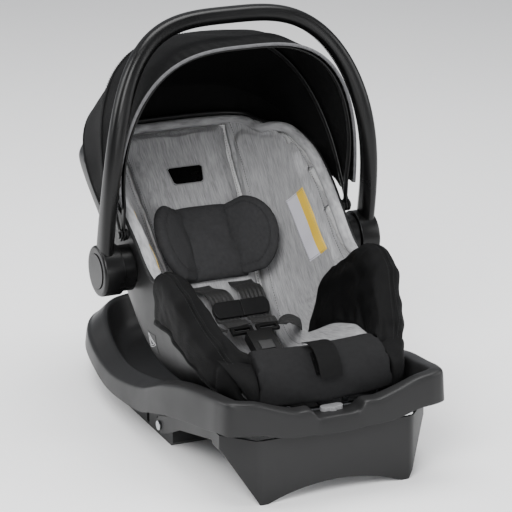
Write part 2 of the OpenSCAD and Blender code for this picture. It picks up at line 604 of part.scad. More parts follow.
// The rear hoops are squarer, to pass outside the shell's head corners.
function side_power(angle) = mix(0.60, 0.65, min(1, max(0, (angle - 26) / 22)));
function canopy_arc(angle, inset = 0, n = 20, foot_x = canopy_half - 4, from = 0.0) =
    [for (s = steps(n)) let (a = mix(from, 180 - from, s))
        let (r = (pivot_radius(angle) - inset) * pow(abs(sin(a)), 0.76))
        let (low = min(1, max(0, (145 - r) / 100)), w = mix(canopy_half - inset, foot_x, low * low))
        [sign(cos(a)) * pow(abs(cos(a)), side_power(angle)) * w,
            canopy_y + r * cos(angle), canopy_z + r * sin(angle)]];
mount_x = shell_side + 6;
module bow(angle, eye_x) {
    arc = canopy_arc(angle, cloth_t + bow_t / 2 + 1.5, 28, eye_x + 1.5, 0.5);
    across = [0, -sin(angle), cos(angle)];
    rings([for (i = [0:len(arc) - 1])
        let (t = unit(pick(arc, i + 1) - pick(arc, i - 1)), n = cross(t, across))
        [for (c = [[-1, -1], [1, -1], [1, 1], [-1, 1]])
            arc[i] + n * c[0] * bow_t / 2 + across * c[1] * bow_w / 2]]);
    both_sides() difference() {
        rod(9, eye_x, eye_x + 3, canopy_y, canopy_z);
        rod(canopy_pin_r + fit, eye_x - 1, eye_x + 4, canopy_y, canopy_z);
    }
}
module front_bow() color(black_plastic) centred() bow(front_bow_angle, mount_x + 1.5);
module mid_bow() color(black_plastic) centred() bow(mid_bow_angle, mount_x + 6);
module canopy_mount(s) color(black_plastic) centred() side(s) {
    rod(canopy_pin_r, 160, mount_x + 11, canopy_y, canopy_z);
    rod(canopy_pin_r + 2.5, mount_x + 9.7, mount_x + 11, canopy_y, canopy_z);
    rod(canopy_pin_r + 5, shell_side + 3, mount_x + 0.5, canopy_y, canopy_z);
}
module canopy_mount_left() canopy_mount(-1);
module canopy_mount_right() canopy_mount(1);
module canopy_panel(a0, a1, n) color(black_cloth) centred()
    skin([for (s = steps(n)) canopy_arc(mix(a0, a1, s), cloth_t, 24, canopy_half - 3, 4)],
        [for (s = steps(n)) canopy_arc(mix(a0, a1, s), 0, 24, canopy_half - 1, 4)]);
module canopy_front_panel() canopy_panel(mid_bow_angle + 0.4, front_bow_angle + 2, 8);
module canopy_rear_panel() canopy_panel(rear_edge_angle, mid_bow_angle - 0.4, 9);

base_tray();
base_underbody();
base_screws();
recline_foot();
foot_pins();
release_button();
latch_slider();
latch_spring();
carrier_shell();
foam_liner();
seat_pad();
side_pad_left();
side_pad_right();
front_cushion();
wing_cover_left();
wing_cover_right();
head_support_back();
head_support_left();
head_support_right();
badge();
patch_left();
patch_right();
level_sticker();
shoulder_strap_left();
shoulder_strap_right();
lap_strap_left();
lap_strap_right();
chest_clip_left();
chest_clip_right();
buckle_body();
buckle_button();
tongue_left();
tongue_right();
crotch_strap();
adjuster_housing();
adjuster_lever();
adjuster_flap();
splitter_plate();
latch_bar_front();
latch_bar_rear();
hub_base_left();
hub_base_right();
hub_pin_left();
hub_pin_right();
hub_spring_left();
hub_spring_right();
handle_bow();
hub_button_left();
hub_button_right();
canopy_mount_left();
canopy_mount_right();
front_bow();
mid_bow();
canopy_front_panel();
canopy_rear_panel();
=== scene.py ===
import json
import math

import bmesh
import bpy
import numpy as np
from mathutils import Matrix, Vector
from mathutils.bvhtree import BVHTree

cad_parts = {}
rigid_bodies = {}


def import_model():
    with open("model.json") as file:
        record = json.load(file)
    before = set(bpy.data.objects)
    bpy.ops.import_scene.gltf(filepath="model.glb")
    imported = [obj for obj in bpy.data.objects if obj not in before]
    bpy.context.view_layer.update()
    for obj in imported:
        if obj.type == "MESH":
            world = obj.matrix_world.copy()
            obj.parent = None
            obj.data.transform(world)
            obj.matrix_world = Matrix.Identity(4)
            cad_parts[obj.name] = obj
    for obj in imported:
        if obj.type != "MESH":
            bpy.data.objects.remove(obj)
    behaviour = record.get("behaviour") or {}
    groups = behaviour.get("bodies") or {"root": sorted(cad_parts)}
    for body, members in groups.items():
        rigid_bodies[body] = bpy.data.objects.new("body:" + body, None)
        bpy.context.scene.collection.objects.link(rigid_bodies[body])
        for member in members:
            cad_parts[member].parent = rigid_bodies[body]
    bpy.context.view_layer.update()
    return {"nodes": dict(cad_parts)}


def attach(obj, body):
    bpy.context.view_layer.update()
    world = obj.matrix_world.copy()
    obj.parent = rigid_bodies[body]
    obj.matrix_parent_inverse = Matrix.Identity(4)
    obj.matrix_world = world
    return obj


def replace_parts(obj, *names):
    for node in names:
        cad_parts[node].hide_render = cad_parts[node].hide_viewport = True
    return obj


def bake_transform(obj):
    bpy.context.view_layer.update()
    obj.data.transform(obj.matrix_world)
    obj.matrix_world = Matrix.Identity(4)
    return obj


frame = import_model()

# An infant car seat: a carrier with handle, canopy and harness, latched into its vehicle base.
# The maker's drawings are in millimetres with the base's front edge at y = -279; place() turns them
# into the frame's metres.
MM = 0.001
BASE_FRONT = -279.0
BASE_W = 362.0
BASE_L = 654.0
MID_Y = BASE_FRONT + BASE_L / 2


# ---- drawing tables, from head end to foot end ----
# Base rim from front centre to rear centre:
# share of half width, share of length, top, skirt height, flange rise, share of flange width.
RIM = [
    (0, 0, 117, 24, 0, 1.10), (.155, 0, 118, 24, 0, 1.10), (.225, 0, 130, 34, 0, .86),
    (.345, 0, 131, 35, 0, .84), (.5, 0, 140, 40, 0, .75), (.66, 0, 151, 43, 0, .68),
    (.8, .002, 155, 45, 0, .68), (.888, .014, 156, 46, 0, .68), (.92, .05, 154, 46, 0, .70),
    (.935, .1, 149, 48, 0, .75), (.965, .2, 139, 49, 0, .84), (.99, .297, 121, 45, 2, .92),
    (1, .365, 103, 40, 5, 1), (1, .43, 87, 37, 8, 1), (1, .545, 71, 30, 9, 1),
    (.995, .635, 67, 27, 10, 1), (.975, .722, 73, 24, 14, 1), (.925, .805, 82, 26, 20, 1),
    (.83, .875, 85, 28, 22, 1), (.69, .935, 83, 28, 23, 1), (.51, .975, 80, 28, 24, 1),
    (.26, .996, 79, 28, 24, 1), (0, 1, 79, 28, 24, 1),
]
RIM_FLANGE = 32.0
BASE_WALL = 3.0

# Carrier sections: share of half width, rim y, rim z, keel y, keel z.
BUCKET = [
    (.74, 290, 374, 328, 381), (.85, 268, 369, 346, 366), (.965, 240, 367, 338, 334), (1, 200, 361, 300, 290),
    (1, 155, 350, 250, 236), (.985, 102, 322, 196, 178), (.965, 59, 292, 148, 124), (.955, 20, 260, 100, 82),
    (.95, -12, 247, 48, 62), (.95, -45, 260, -8, 60), (.95, -78, 258, -62, 68), (.93, -112, 234, -112, 82),
    (.86, -150, 190, -156, 98), (.77, -190, 162, -196, 113), (.66, -214, 142, -228, 126),
]
HALF_SHELL = 172.0
SHELL_WALL = 3.5
BOX_POWER = 0.66
LAST_ROW = len(BUCKET) - 1
# Front face of the cushions on the same sections: seam half width, y, z.
CUSHION = [
    (84, 322, 378), (87, 316, 366), (87, 300, 345), (84, 266, 308), (80, 218, 256), (75, 168, 201),
    (69, 120, 148), (65, 80, 112), (64, 40, 98), (67, -8, 101), (74, -60, 116), (84, -110, 140),
    (94, -150, 164), (100, -176, 178), (104, -196, 184),
]
PAD_IN = SHELL_WALL + 1.6 + 11 + 2
SIT_POINT = (0.0, -20.0, 300.0)

HUB_Y, HUB_Z = 70.0, 243.0
HUB_OUT, HUB_IN = 216.0, 186.0
HANDLE_REACH, GRIP_D = 335.0, 24.0
HANDLE_LEAN, HANDLE_BULGE = 4.0, 36.0

CANOPY_Y, CANOPY_Z = 71.0, 292.0
CANOPY_HALF, CLOTH_T = 187.0, 2.0
FRONT_BOW, MID_BOW, REAR_EDGE = 96.0, 58.0, 26.0
BOW_T, BOW_W = 4.0, 10.0
MOUNT_X = HALF_SHELL * 0.962 + 6

BACK_ANGLE, BACK_Y, BACK_Z = 47.5, 76.0, 100.0
SHOULDER_W, LAP_W, CROTCH_W = 38.0, 22.0, 30.0
WEB_T = 1.6
FLAP_W, FLAP_T = 34.0, 1.8


# ---- curves ----
def mix(a, b, t):
    return a + (b - a) * t


def unit(v):
    return v / np.maximum(np.linalg.norm(v, axis=-1, keepdims=True), 1e-9)


def along(table, u):
    """Catmull-Rom curve through a table's rows at u, a number or an array."""
    rows = np.asarray(table, float)
    u = np.asarray(u, float)
    i = np.clip(np.floor(u).astype(int), 0, len(rows) - 2)
    t = (u - i)[..., None]
    a, b, c, d = (rows[np.clip(i + k, 0, len(rows) - 1)] for k in (-1, 0, 1, 2))
    return 0.5 * (2 * b + (c - a) * t + (2 * a - 5 * b + 4 * c - d) * t**2 + (3 * b - a - 3 * c + d) * t**3)


def place(points):
    """From the drawing's millimetres to the frame's metres."""
    out = np.array(points, float) * MM
    out[..., 1] -= MID_Y * MM
    return out


def unplace(points):
    """From the frame's metres back to the drawing's millimetres."""
    out = np.array(points, float)
    out[..., 1] += MID_Y * MM
    return out / MM


def evenly(points, n):
    """The same polyline with n points at even spacing."""
    points = np.asarray(points, float)
    run = np.concatenate([[0], np.cumsum(np.linalg.norm(np.diff(points, axis=0), axis=1))])
    at = np.linspace(0, run[-1], n)
    return np.stack([np.interp(at, run, points[:, k]) for k in range(points.shape[1])], -1)


def smooth_line(points, n):
    """A smooth curve through a few points, with n points at even spacing."""
    return evenly(along(points, np.linspace(0, len(points) - 1, 12 * len(points))), n)


def ripple(points, size, seed):
    """Smooth irregular waves about `size` mm long, between about -1 and 1."""
    rng = np.random.default_rng(seed)
    total = 0
    for _ in range(7):
        way = unit(rng.normal(size=3))
        rate = 2 * math.pi * rng.uniform(0.55, 1.7) / size
        total = total + np.sin(np.asarray(points) @ way * rate + rng.uniform(0, 2 * math.pi))
    return total / 2.7


def grid_normals(grid, towards=None):
    """Unit normals of a grid of points, turned to face a point."""
    n = unit(np.cross(np.gradient(grid, axis=1), np.gradient(grid, axis=0)))
    if towards is not None:
        facing = np.sum(n * (np.asarray(towards) - grid), axis=-1).mean()
        n = n if facing > 0 else -n
    return n


# ---- the carrier's surfaces ----
def bucket(u, angle, inset=0.0):
    """Points of the bucket at section u and section angle, set in from the outside."""
    u, angle, inset = np.broadcast_arrays(*(np.asarray(v, float) for v in (u, angle, inset)))
    row = along(BUCKET, u)
    ahead = along(BUCKET, np.minimum(u + 0.3, LAST_ROW))
    t = unit(ahead[..., 3:5] - along(BUCKET, np.maximum(u - 0.3, 0))[..., 3:5])
    a = np.radians(angle)
    c = np.maximum(np.cos(a), 0) ** BOX_POWER
    x = np.sign(a) * np.abs(np.sin(a)) ** BOX_POWER * (row[..., 0] * HALF_SHELL - inset)
    k = inset * np.maximum(c, np.maximum(0, 1 - u / 3.2))
    y = mix(row[..., 1], row[..., 3], c) + t[..., 1] * k
    z = mix(row[..., 2], row[..., 4], c) - t[..., 0] * k
    return np.stack([x, y, z], -1)


def angle_at(u, x, inset):
    """The section angle at which the inset bucket is x wide."""
    w = along(BUCKET, u)[..., 0] * HALF_SHELL - inset
    share = np.clip(np.abs(x) / w, 0, 1) ** (1 / BOX_POWER)
    return np.sign(x) * np.degrees(np.arcsin(share))


def cushion_normal(u):
    """The way that the cushions' front faces look, in the y and z of each section."""
    ahead, back = along(CUSHION, np.minimum(u + 0.2, LAST_ROW)), along(CUSHION, np.maximum(u - 0.2, 0))
    t = unit(ahead[..., 1:] - back[..., 1:])
    return np.stack([t[..., 1], -t[..., 0]], -1)


def on_back(x, up, out):
    """A point on the seat back: across, up along the back, out of the cushion."""
    a = math.radians(BACK_ANGLE)
    x, up, out = np.broadcast_arrays(np.asarray(x, float), np.asarray(up, float), np.asarray(out, float))
    y = BACK_Y + up * math.cos(a) - out * math.sin(a)
    z = BACK_Z + up * math.sin(a) + out * math.cos(a)
    return np.stack([x, y, z], -1)


def side_face(u, k):
    """Front face of the right side cushion: k runs from the middle seam, 0, to the rim, 1."""
    u, k = np.broadcast_arrays(np.asarray(u, float), np.asarray(k, float))
    c = along(CUSHION, u)
    p = along(BUCKET, u)
    x = mix(c[..., 0] + 0.4, p[..., 0] * HALF_SHELL - PAD_IN, np.maximum(k, 0) ** 0.8)
    lean = np.maximum(k, 0) ** 1.6
    y = mix(c[..., 1], p[..., 1], lean)
    z = mix(c[..., 2], p[..., 2], lean) + 3 * k
    return np.stack([x, y, z], -1)


# ---- the canopy's and the handle's surfaces ----
def pivot_radius(angle):
    """Distance from the canopy's pivot to its cloth in this direction."""
    a = np.radians(angle)
    dy, dz = CANOPY_Y - HUB_Y, CANOPY_Z - HUB_Z
    r = mix(327.0, 316.0, np.clip((np.asarray(angle, float) - 62) / 34, 0, 1))
    b = dy * np.cos(a) + dz * np.sin(a)
    return -b + np.sqrt(b * b - dy * dy - dz * dz + r * r)


def canopy_arc(angle, inset=0.0, n=141, foot_x=CANOPY_HALF - 3, start=4.0):
    """One hoop of the canopy from the left foot to the right, with n points at even spacing."""
    a = np.radians(np.linspace(180 - start, start, 500))
    r = (pivot_radius(angle) - inset) * np.abs(np.sin(a)) ** 0.76
    low = np.clip((145 - r) / 100, 0, 1)
    power = mix(0.60, 0.65, min(1, max(0, (angle - 26) / 22)))
    w = mix(CANOPY_HALF - inset, foot_x, low**2)
    x = np.sign(np.cos(a)) * np.abs(np.cos(a)) ** power * w
    t = math.radians(angle)
    return evenly(np.stack([x, CANOPY_Y + r * math.cos(t), CANOPY_Z + r * math.sin(t)], -1), n)


def bow_point(s):
    """Centre of the handle bow; s runs from 0 at one hub to 1 at the other."""
    a = math.pi * np.asarray(s, float)
    lean = math.radians(HANDLE_LEAN)
    w = HUB_OUT - 11
    f = np.abs(np.sin(a)) ** 0.76
    x = np.sign(np.cos(a)) * np.abs(np.cos(a)) ** 0.60 * w
    across = -HANDLE_BULGE * np.sin(math.pi * f**1.1)
    up = (HANDLE_REACH + GRIP_D / 2) * f
    y = HUB_Y + up * math.sin(lean) + across * math.cos(lean)
    z = HUB_Z + up * math.cos(lean) - across * math.sin(lean)
    return np.stack([x, y, z], -1)


# ---- meshes ----
def build(name, points, faces, flat=None, sharp=40.0):
    """A mesh object from the drawing's points; flat is each point's place on the cut cloth, in metres."""
    mesh = bpy.data.meshes.new(name)
    mesh.from_pydata([tuple(p) for p in place(np.asarray(points, float).reshape(-1, 3))], [], faces)
    if flat is not None:
        store_flat(mesh, flat)
    mesh.update()
    obj = bpy.data.objects.new(name, mesh)
    bpy.context.collection.objects.link(obj)
    tidy_faces(obj, sharp)
    return obj


def store_flat(mesh, flat):
    """Keeps the place of each point on the flat cloth in an attribute that the materials read."""
    old = mesh.attributes.get("cloth")
    if old:
        mesh.attributes.remove(old)
    flat = np.asarray(flat, float).reshape(len(mesh.vertices), -1)
    full = np.zeros((len(flat), 3), np.float32)
    full[:, :flat.shape[1]] = flat
    mesh.attributes.new("cloth", "FLOAT_VECTOR", "POINT").data.foreach_set("vector", full.ravel())


def tidy_faces(obj, sharp=40.0):
    """Merges doubles, turns the faces outwards and shades them smooth up to an angle."""
    bm = bmesh.new()
    bm.from_mesh(obj.data)
    bmesh.ops.remove_doubles(bm, verts=bm.verts, dist=1e-5)
    bmesh.ops.recalc_face_normals(bm, faces=bm.faces)
    bm.to_mesh(obj.data)
    bm.free()
    obj.data.shade_smooth()
    if sharp < 180:
        obj.data.set_sharp_from_angle(angle=math.radians(sharp))


def grid_faces(n, m, first=0, wrap_rows=False, wrap_cols=False, flip=False):
    faces = []
    for i in range(n if wrap_rows else n - 1):
        for j in range(m if wrap_cols else m - 1):
            i2, j2 = (i + 1) % n, (j + 1) % m
            quad = (first + i * m + j, first + i * m + j2, first + i2 * m + j2, first + i2 * m + j)
            faces.append(quad[::-1] if flip else quad)
    return faces


def runs(grid):
    """Each grid point's distance across and down the cloth, in metres."""
    down = np.zeros(grid.shape[:2])
    across = np.zeros(grid.shape[:2])
    down[1:] = np.cumsum(np.linalg.norm(np.diff(grid, axis=0), axis=2), axis=0)
    across[:, 1:] = np.cumsum(np.linalg.norm(np.diff(grid, axis=1), axis=2), axis=1)
    across -= across[:, -1:] / 2
    return np.stack([across, down], -1) * MM


def slab(name, top, under, sharp=60.0):
    """A closed piece between two grids of the same size, joined along their edges."""
    n, m = top.shape[:2]
    size = n * m
    edge = [j for j in range(m)] + [i * m + m - 1 for i in range(1, n)]
    edge += [(n - 1) * m + j for j in range(m - 2, -1, -1)] + [i * m for i in range(n - 2, 0, -1)]
    faces = grid_faces(n, m) + grid_faces(n, m, size, flip=True)
    for a, b in zip(edge, edge[1:] + edge[:1]):
        faces.append((a, size + a, size + b, b))
    flat = runs(top)
    return build(name, np.concatenate([top.reshape(-1, 3), under.reshape(-1, 3)]), faces,
                 np.concatenate([flat.reshape(-1, 2), flat.reshape(-1, 2)]), sharp)


def tube(name, path, radius, sides=10, closed=False, squeeze=1.0, sharp=180.0):
    """A round bar along a path; squeeze flattens it across the path's bend."""
    path = np.asarray(path, float)
    n = len(path)
    t = unit(np.roll(path, -1, 0) - np.roll(path, 1, 0)) if closed else unit(np.gradient(path, axis=0))
    side = np.zeros_like(path)
    first = np.cross(t[0], [0, 0, 1.0])
    side[0] = unit(first) if np.linalg.norm(first) > 0.1 else unit(np.cross(t[0], [0, 1.0, 0]))
    for i in range(1, n):
        side[i] = unit(side[i - 1] - t[i] * (side[i - 1] @ t[i]))
    up = np.cross(t, side)
    r = np.broadcast_to(np.asarray(radius, float), (n,))[:, None, None]
    a = np.linspace(0, 2 * math.pi, sides, endpoint=False)
    ring = np.cos(a)[None, :, None] * side[:, None] + np.sin(a)[None, :, None] * up[:, None] * squeeze
    points = path[:, None] + ring * r
    faces = grid_faces(n, sides, wrap_rows=closed, wrap_cols=True)
    if not closed:
        faces += [tuple(range(sides))[::-1], tuple((n - 1) * sides + k for k in range(sides))]
    run = np.concatenate([[0], np.cumsum(np.linalg.norm(np.diff(path, axis=0), axis=1))]) * MM
    flat = np.stack(np.broadcast_arrays(a[None, :] / (2 * math.pi) * 0.01, run[:, None]), -1)
    return build(name, points, faces, flat, sharp)


def webbing(name, path, width, thick=WEB_T, across=(1.0, 0, 0), cup=0.6):
    """A woven strap along a path: flat, with rolled selvedges and a slight cup across its width."""
    path = np.asarray(path, float)
    t = unit(np.gradient(path, axis=0))
    wide = np.broadcast_to(np.asarray(across, float), t.shape)
    wide = unit(wide - t * np.sum(wide * t, -1, keepdims=True))
    out = np.cross(wide, t)
    v = np.sin(np.linspace(-1, 1, 25) * math.pi / 2)
    edge = (1 - np.abs(v) ** 14) ** 0.5
    lift = -cup * v**2
    grids = [path[:, None] + wide[:, None] * (v * width / 2)[None, :, None]
             + out[:, None] * (lift + s * thick / 2 * (0.25 + 0.75 * edge))[None, :, None] for s in (1, -1)]
    return slab(name, grids[0], grids[1], sharp=50)


def lathe_x(name, profile, y, z, side=1, around=72, sharp=35.0):
    """A closed ring turned about an axis along X; the profile is (x, radius) points."""
    p = np.asarray(profile, float)
    a = np.linspace(0, 2 * math.pi, around, endpoint=False)
    ring_y, ring_z = p[None, :, 1] * np.cos(a)[:, None], p[None, :, 1] * np.sin(a)[:, None]
    points = np.stack(np.broadcast_arrays(side * p[None, :, 0], y + ring_y, z + ring_z), -1)
    return build(name, points, grid_faces(around, len(p), wrap_rows=True, wrap_cols=True), sharp=sharp)


def round_corners(profile, cuts, steps=5):
    """A closed profile with its corners cut back and rounded; a corner is one point or a row of points."""
    n = len(profile)
    out = []
    for k in range(n):
        p, cut = np.asarray(profile[k], float), cuts[k]
        if cut <= 0:
            out.append(p)
            continue
        before, after = np.asarray(profile[k - 1], float) - p, np.asarray(profile[(k + 1) % n], float) - p
        reach = [np.minimum(cut, np.linalg.norm(v, axis=-1, keepdims=True) * 0.48) for v in (before, after)]
        a, b = p + unit(before) * reach[0], p + unit(after) * reach[1]
        for s in np.linspace(0, 1, steps):
            out.append(mix(mix(a, p, s), mix(p, b, s), s))
    return out


def settle(obj):
    """Makes what the modifiers give the object's own mesh."""
    graph = bpy.context.evaluated_depsgraph_get()
    mesh = bpy.data.meshes.new_from_object(obj.evaluated_get(graph), depsgraph=graph)
    obj.modifiers.clear()
    obj.data = mesh
    return obj


def join(name, parts):
    """Several mesh objects as one."""
    for o in bpy.context.view_layer.objects:
        o.select_set(o in parts)
    with bpy.context.temp_override(active_object=parts[0], selected_editable_objects=parts, object=parts[0]):
        bpy.ops.object.join()
    parts[0].name = name
    parts[0].data.name = name
    return parts[0]


def mirror_copy(obj, name):
    """The same piece for the other side, with its faces turned outwards again."""
    mesh = obj.data.copy()
    mesh.transform(Matrix.Scale(-1, 4, (1, 0, 0)))
    other = bpy.data.objects.new(name, mesh)
    bpy.context.collection.objects.link(other)
    mesh.flip_normals()
    return other


def points_of(obj):
    co = np.zeros(len(obj.data.vertices) * 3, np.float32)
    obj.data.vertices.foreach_get("co", co)
    return co.reshape(-1, 3).astype(float)


def set_points(obj, co):
    obj.data.vertices.foreach_set("co", np.asarray(co, np.float32).ravel())
    obj.data.update()


# ---- padded pieces ----
def swell(obj, faces_to, voxel=5.0, pressure=4.0, cap=6.0, behind=0.12):
    """Blows a closed pad up with cloth pressure. No point moves further than cap mm, and the faces that
    look away from the given point hardly move, because they lie on something."""
    remesh = obj.modifiers.new("even_mesh", "REMESH")
    remesh.mode = "VOXEL"
    remesh.voxel_size = voxel * MM
    settle(obj)
    start = points_of(obj)
    cloth = obj.modifiers.new("cloth", "CLOTH")
    cloth.settings.quality = 5
    cloth.settings.mass = 0.3
    cloth.settings.tension_stiffness = 12
    cloth.settings.compression_stiffness = 8
    cloth.settings.shear_stiffness = 6
    cloth.settings.bending_stiffness = 0.4
    cloth.settings.use_pressure = True
    cloth.settings.uniform_pressure_force = pressure
    cloth.settings.effector_weights.gravity = 0
    cloth.point_cache.frame_start, cloth.point_cache.frame_end = 1, 20
    scene = bpy.context.scene
    for f in range(1, 21):
        scene.frame_set(f)
    graph = bpy.context.evaluated_depsgraph_get()
    done = obj.evaluated_get(graph).to_mesh()
    co = np.zeros(len(done.vertices) * 3, np.float32)
    done.vertices.foreach_get("co", co)
    move = co.reshape(-1, 3) - start
    obj.evaluated_get(graph).to_mesh_clear()
    obj.modifiers.clear()
    scene.frame_set(1)
    far = np.linalg.norm(move, axis=1, keepdims=True)
    move *= np.minimum(1, cap * MM / np.maximum(far, 1e-9))
    if faces_to is not None:
        look = unit(place(faces_to) - start)
        turn = np.sum(look * unit(move), axis=1, keepdims=True)
        move *= np.clip(0.5 + turn, behind, 1)
    set_points(obj, start + move)
    sub = obj.modifiers.new("rounding", "SUBSURF")
    sub.levels = sub.render_levels = 1
    settle(obj)
    obj.data.shade_smooth()
    return obj


def run_along(points, curve):
    """For each point, how far along a y-z curve its nearest place is and how far it stands off it, in mm."""
    fine = along(curve, np.linspace(0, len(curve) - 1, 400))
    run = np.concatenate([[0], np.cumsum(np.linalg.norm(np.diff(fine, axis=0), axis=1))])
    near = np.concatenate([np.argmin(((chunk[:, None, 1:] - fine[None]) ** 2).sum(-1), 1)
                           for chunk in np.array_split(points, max(1, len(points) // 4000))])
    off = np.linalg.norm(points[:, 1:] - fine[near], axis=1)
    return run[near], off


def lay_flat(obj, curve):
    """Gives a swollen pad the place of each point on its cut cloth: across, and along the curve."""
    p = unplace(points_of(obj))
    run, off = run_along(p, curve)
    store_flat(obj.data, np.stack([p[:, 0] + np.sign(p[:, 0]) * off, run], -1) * MM)


# ---- materials ----
def put(tree, kind, inputs=None, **settings):
    """A node of this kind; inputs are numbers, colours or sockets to link from."""
    node = tree.nodes.new(kind)
    for key, value in settings.items():
        setattr(node, key, value)
    for key, value in (inputs or {}).items():
        if isinstance(value, bpy.types.NodeSocket):
            tree.links.new(value, node.inputs[key])
        else:
            node.inputs[key].default_value = value
    return node


def calc(tree, operation, a, b=0.0, clamp=False):
    return put(tree, "ShaderNodeMath", {0: a, 1: b}, operation=operation, use_clamp=clamp).outputs[0]


def blend_colour(tree, share, a, b):
    """Colour a where share is 0, colour b where it is 1."""
    node = put(tree, "ShaderNodeMix", {0: share, 6: a, 7: b}, data_type="RGBA")
    return node.outputs[2]


def effect(name, inputs, outputs):
    """An empty node group for an effect, with its named sockets."""
    tree = bpy.data.node_groups.new(name, "ShaderNodeTree")
    for label, kind, value in inputs:
        socket = tree.interface.new_socket(label, in_out="INPUT", socket_type=kind)
        if value is not None:
            socket.default_value = value
    for label, kind in outputs:
        tree.interface.new_socket(label, in_out="OUTPUT", socket_type=kind)
    return tree, tree.nodes.new("NodeGroupInput").outputs, tree.nodes.new("NodeGroupOutput").inputs


FLOAT, VECTOR = "NodeSocketFloat", "NodeSocketVector"


def make_melange():
    """Streaks of light and dark yarn that run down the cloth, with the weave's threads as height."""
    tree, given, out = effect("melange_yarn", [("Place", VECTOR, None), ("Streak Width", FLOAT, 0.0009),
                                               ("Streak Length", FLOAT, 0.016), ("Thread", FLOAT, 0.0011)],
                              [("Light Yarn", FLOAT), ("Height", FLOAT)])
    parts = put(tree, "ShaderNodeSeparateXYZ", {0: given["Place"]}).outputs
    total = None
    for spread, weight, detail in ((1.0, 0.46, 3.0), (2.7, 0.30, 2.0), (9.0, 0.24, 2.0)):
        width = calc(tree, "MULTIPLY", given["Streak Width"], spread)
        length = calc(tree, "MULTIPLY", given["Streak Length"], spread**0.5)
        where = put(tree, "ShaderNodeCombineXYZ", {0: calc(tree, "DIVIDE", parts[0], width),
                                                    1: calc(tree, "DIVIDE", parts[1], length), 2: spread})
        noise = put(tree, "ShaderNodeTexNoise", {"Vector": where.outputs[0], "Scale": 1.0, "Detail": detail})
        share = calc(tree, "MULTIPLY", noise.outputs["Fac"], weight)
        total = share if total is None else calc(tree, "ADD", total, share)
    sharp = put(tree, "ShaderNodeMapRange", {0: total, 1: 0.33, 2: 0.63, 3: 0.0, 4: 1.0})
    tree.links.new(sharp.outputs[0], out["Light Yarn"])
    rate = calc(tree, "DIVIDE", 2 * math.pi, given["Thread"])
    warp = calc(tree, "SINE", calc(tree, "MULTIPLY", parts[0], rate))
    weft = calc(tree, "SINE", calc(tree, "MULTIPLY", parts[1], rate))
    weave = calc(tree, "MULTIPLY", calc(tree, "MULTIPLY", warp, weft), 0.5)
    tree.links.new(calc(tree, "ADD", weave, sharp.outputs[0]), out["Height"])
    return tree


def make_weave():
    """A plain weave: threads as height, and a mask of slightly lighter yarn, with a faint painted shade mixed
    in that darkens it where the threads dip.
    """
    tree, given, out = effect("plain_weave", [("Place", VECTOR, None), ("Thread", FLOAT, 0.0009)],
                              [("Light Yarn", FLOAT), ("Height", FLOAT)])
    parts = put(tree, "ShaderNodeSeparateXYZ", {0: given["Place"]}).outputs
    rate = calc(tree, "DIVIDE", 2 * math.pi, given["Thread"])
    across = calc(tree, "SINE", calc(tree, "MULTIPLY", calc(tree, "ADD", parts[0], parts[2]), rate))
    down = calc(tree, "SINE", calc(tree, "MULTIPLY", calc(tree, "SUBTRACT", parts[1], parts[2]), rate))
    weave = calc(tree, "MULTIPLY", across, down)
    tree.links.new(weave, out["Height"])
    noise = put(tree, "ShaderNodeTexNoise", {"Vector": given["Place"], "Scale": 160.0, "Detail": 4.0})
    # painted shade: the weave's height darkens the yarn mask a little where the threads dip
    painted_thread_shade = calc(tree, "MULTIPLY", weave, 0.15)
    tree.links.new(calc(tree, "ADD", painted_thread_shade, noise.outputs["Fac"]), out["Light Yarn"])
    return tree


def make_moulding():
    """The fine spark-eroded grain of a moulded surface, and the wear along its edges."""
    tree, given, out = effect("moulded_grain",
                              [("Place", VECTOR, None), ("Grain", FLOAT, 900.0), ("Wear", FLOAT, 1.0)],
                              [("Height", FLOAT), ("Cloudy", FLOAT), ("Worn Edge", FLOAT)])
    fine = {"Vector": given["Place"], "Scale": given["Grain"], "Detail": 2.0}
    grain = put(tree, "ShaderNodeTexNoise", fine)
    tree.links.new(grain.outputs["Fac"], out["Height"])
    cloud = put(tree, "ShaderNodeTexNoise", {"Vector": given["Place"], "Scale": 14.0, "Detail": 5.0})
    tree.links.new(cloud.outputs["Fac"], out["Cloudy"])
    edge = put(tree, "ShaderNodeMapRange", {0: put(tree, "ShaderNodeNewGeometry").outputs["Pointiness"],
                                            1: 0.52, 2: 0.60, 3: 0.0, 4: 1.0})
    scuff = put(tree, "ShaderNodeTexNoise", {"Vector": given["Place"], "Scale": 60.0, "Detail": 5.0})
    worn = calc(tree, "MULTIPLY", edge.outputs[0], scuff.outputs["Fac"])
    tree.links.new(calc(tree, "MULTIPLY", worn, given["Wear"], clamp=True), out["Worn Edge"])
    return tree


def make_webbing():
    """Harness webbing: lengthwise ribs crossed by a fine herringbone, with the height also given out as a
    painted shade that darkens the grooves.
    """
    tree, given, out = effect("webbing_ribs",
                              [("Place", VECTOR, None), ("Rib", FLOAT, 0.0032), ("Pick", FLOAT, 0.0012)],
                              [("Rib Painted Shade", FLOAT), ("Height", FLOAT)])
    parts = put(tree, "ShaderNodeSeparateXYZ", {0: given["Place"]}).outputs
    side = calc(tree, "PINGPONG", parts[0], given["Rib"])
    slant = calc(tree, "ADD", parts[1], side)
    pick = calc(tree, "SINE", calc(tree, "MULTIPLY", slant, calc(tree, "DIVIDE", 2 * math.pi, given["Pick"])))
    rate = calc(tree, "DIVIDE", 2 * math.pi, given["Rib"])
    rib = calc(tree, "SINE", calc(tree, "MULTIPLY", parts[0], rate))
    height = calc(tree, "ADD", calc(tree, "MULTIPLY", pick, 0.6), calc(tree, "MULTIPLY", rib, 0.5))
    tree.links.new(height, out["Height"])
    # painted shade: the colour mask follows the height, darker in the grooves between ribs and picks
    tree.links.new(calc(tree, "ADD", calc(tree, "MULTIPLY", height, 0.4), 0.5), out["Rib Painted Shade"])
    return tree


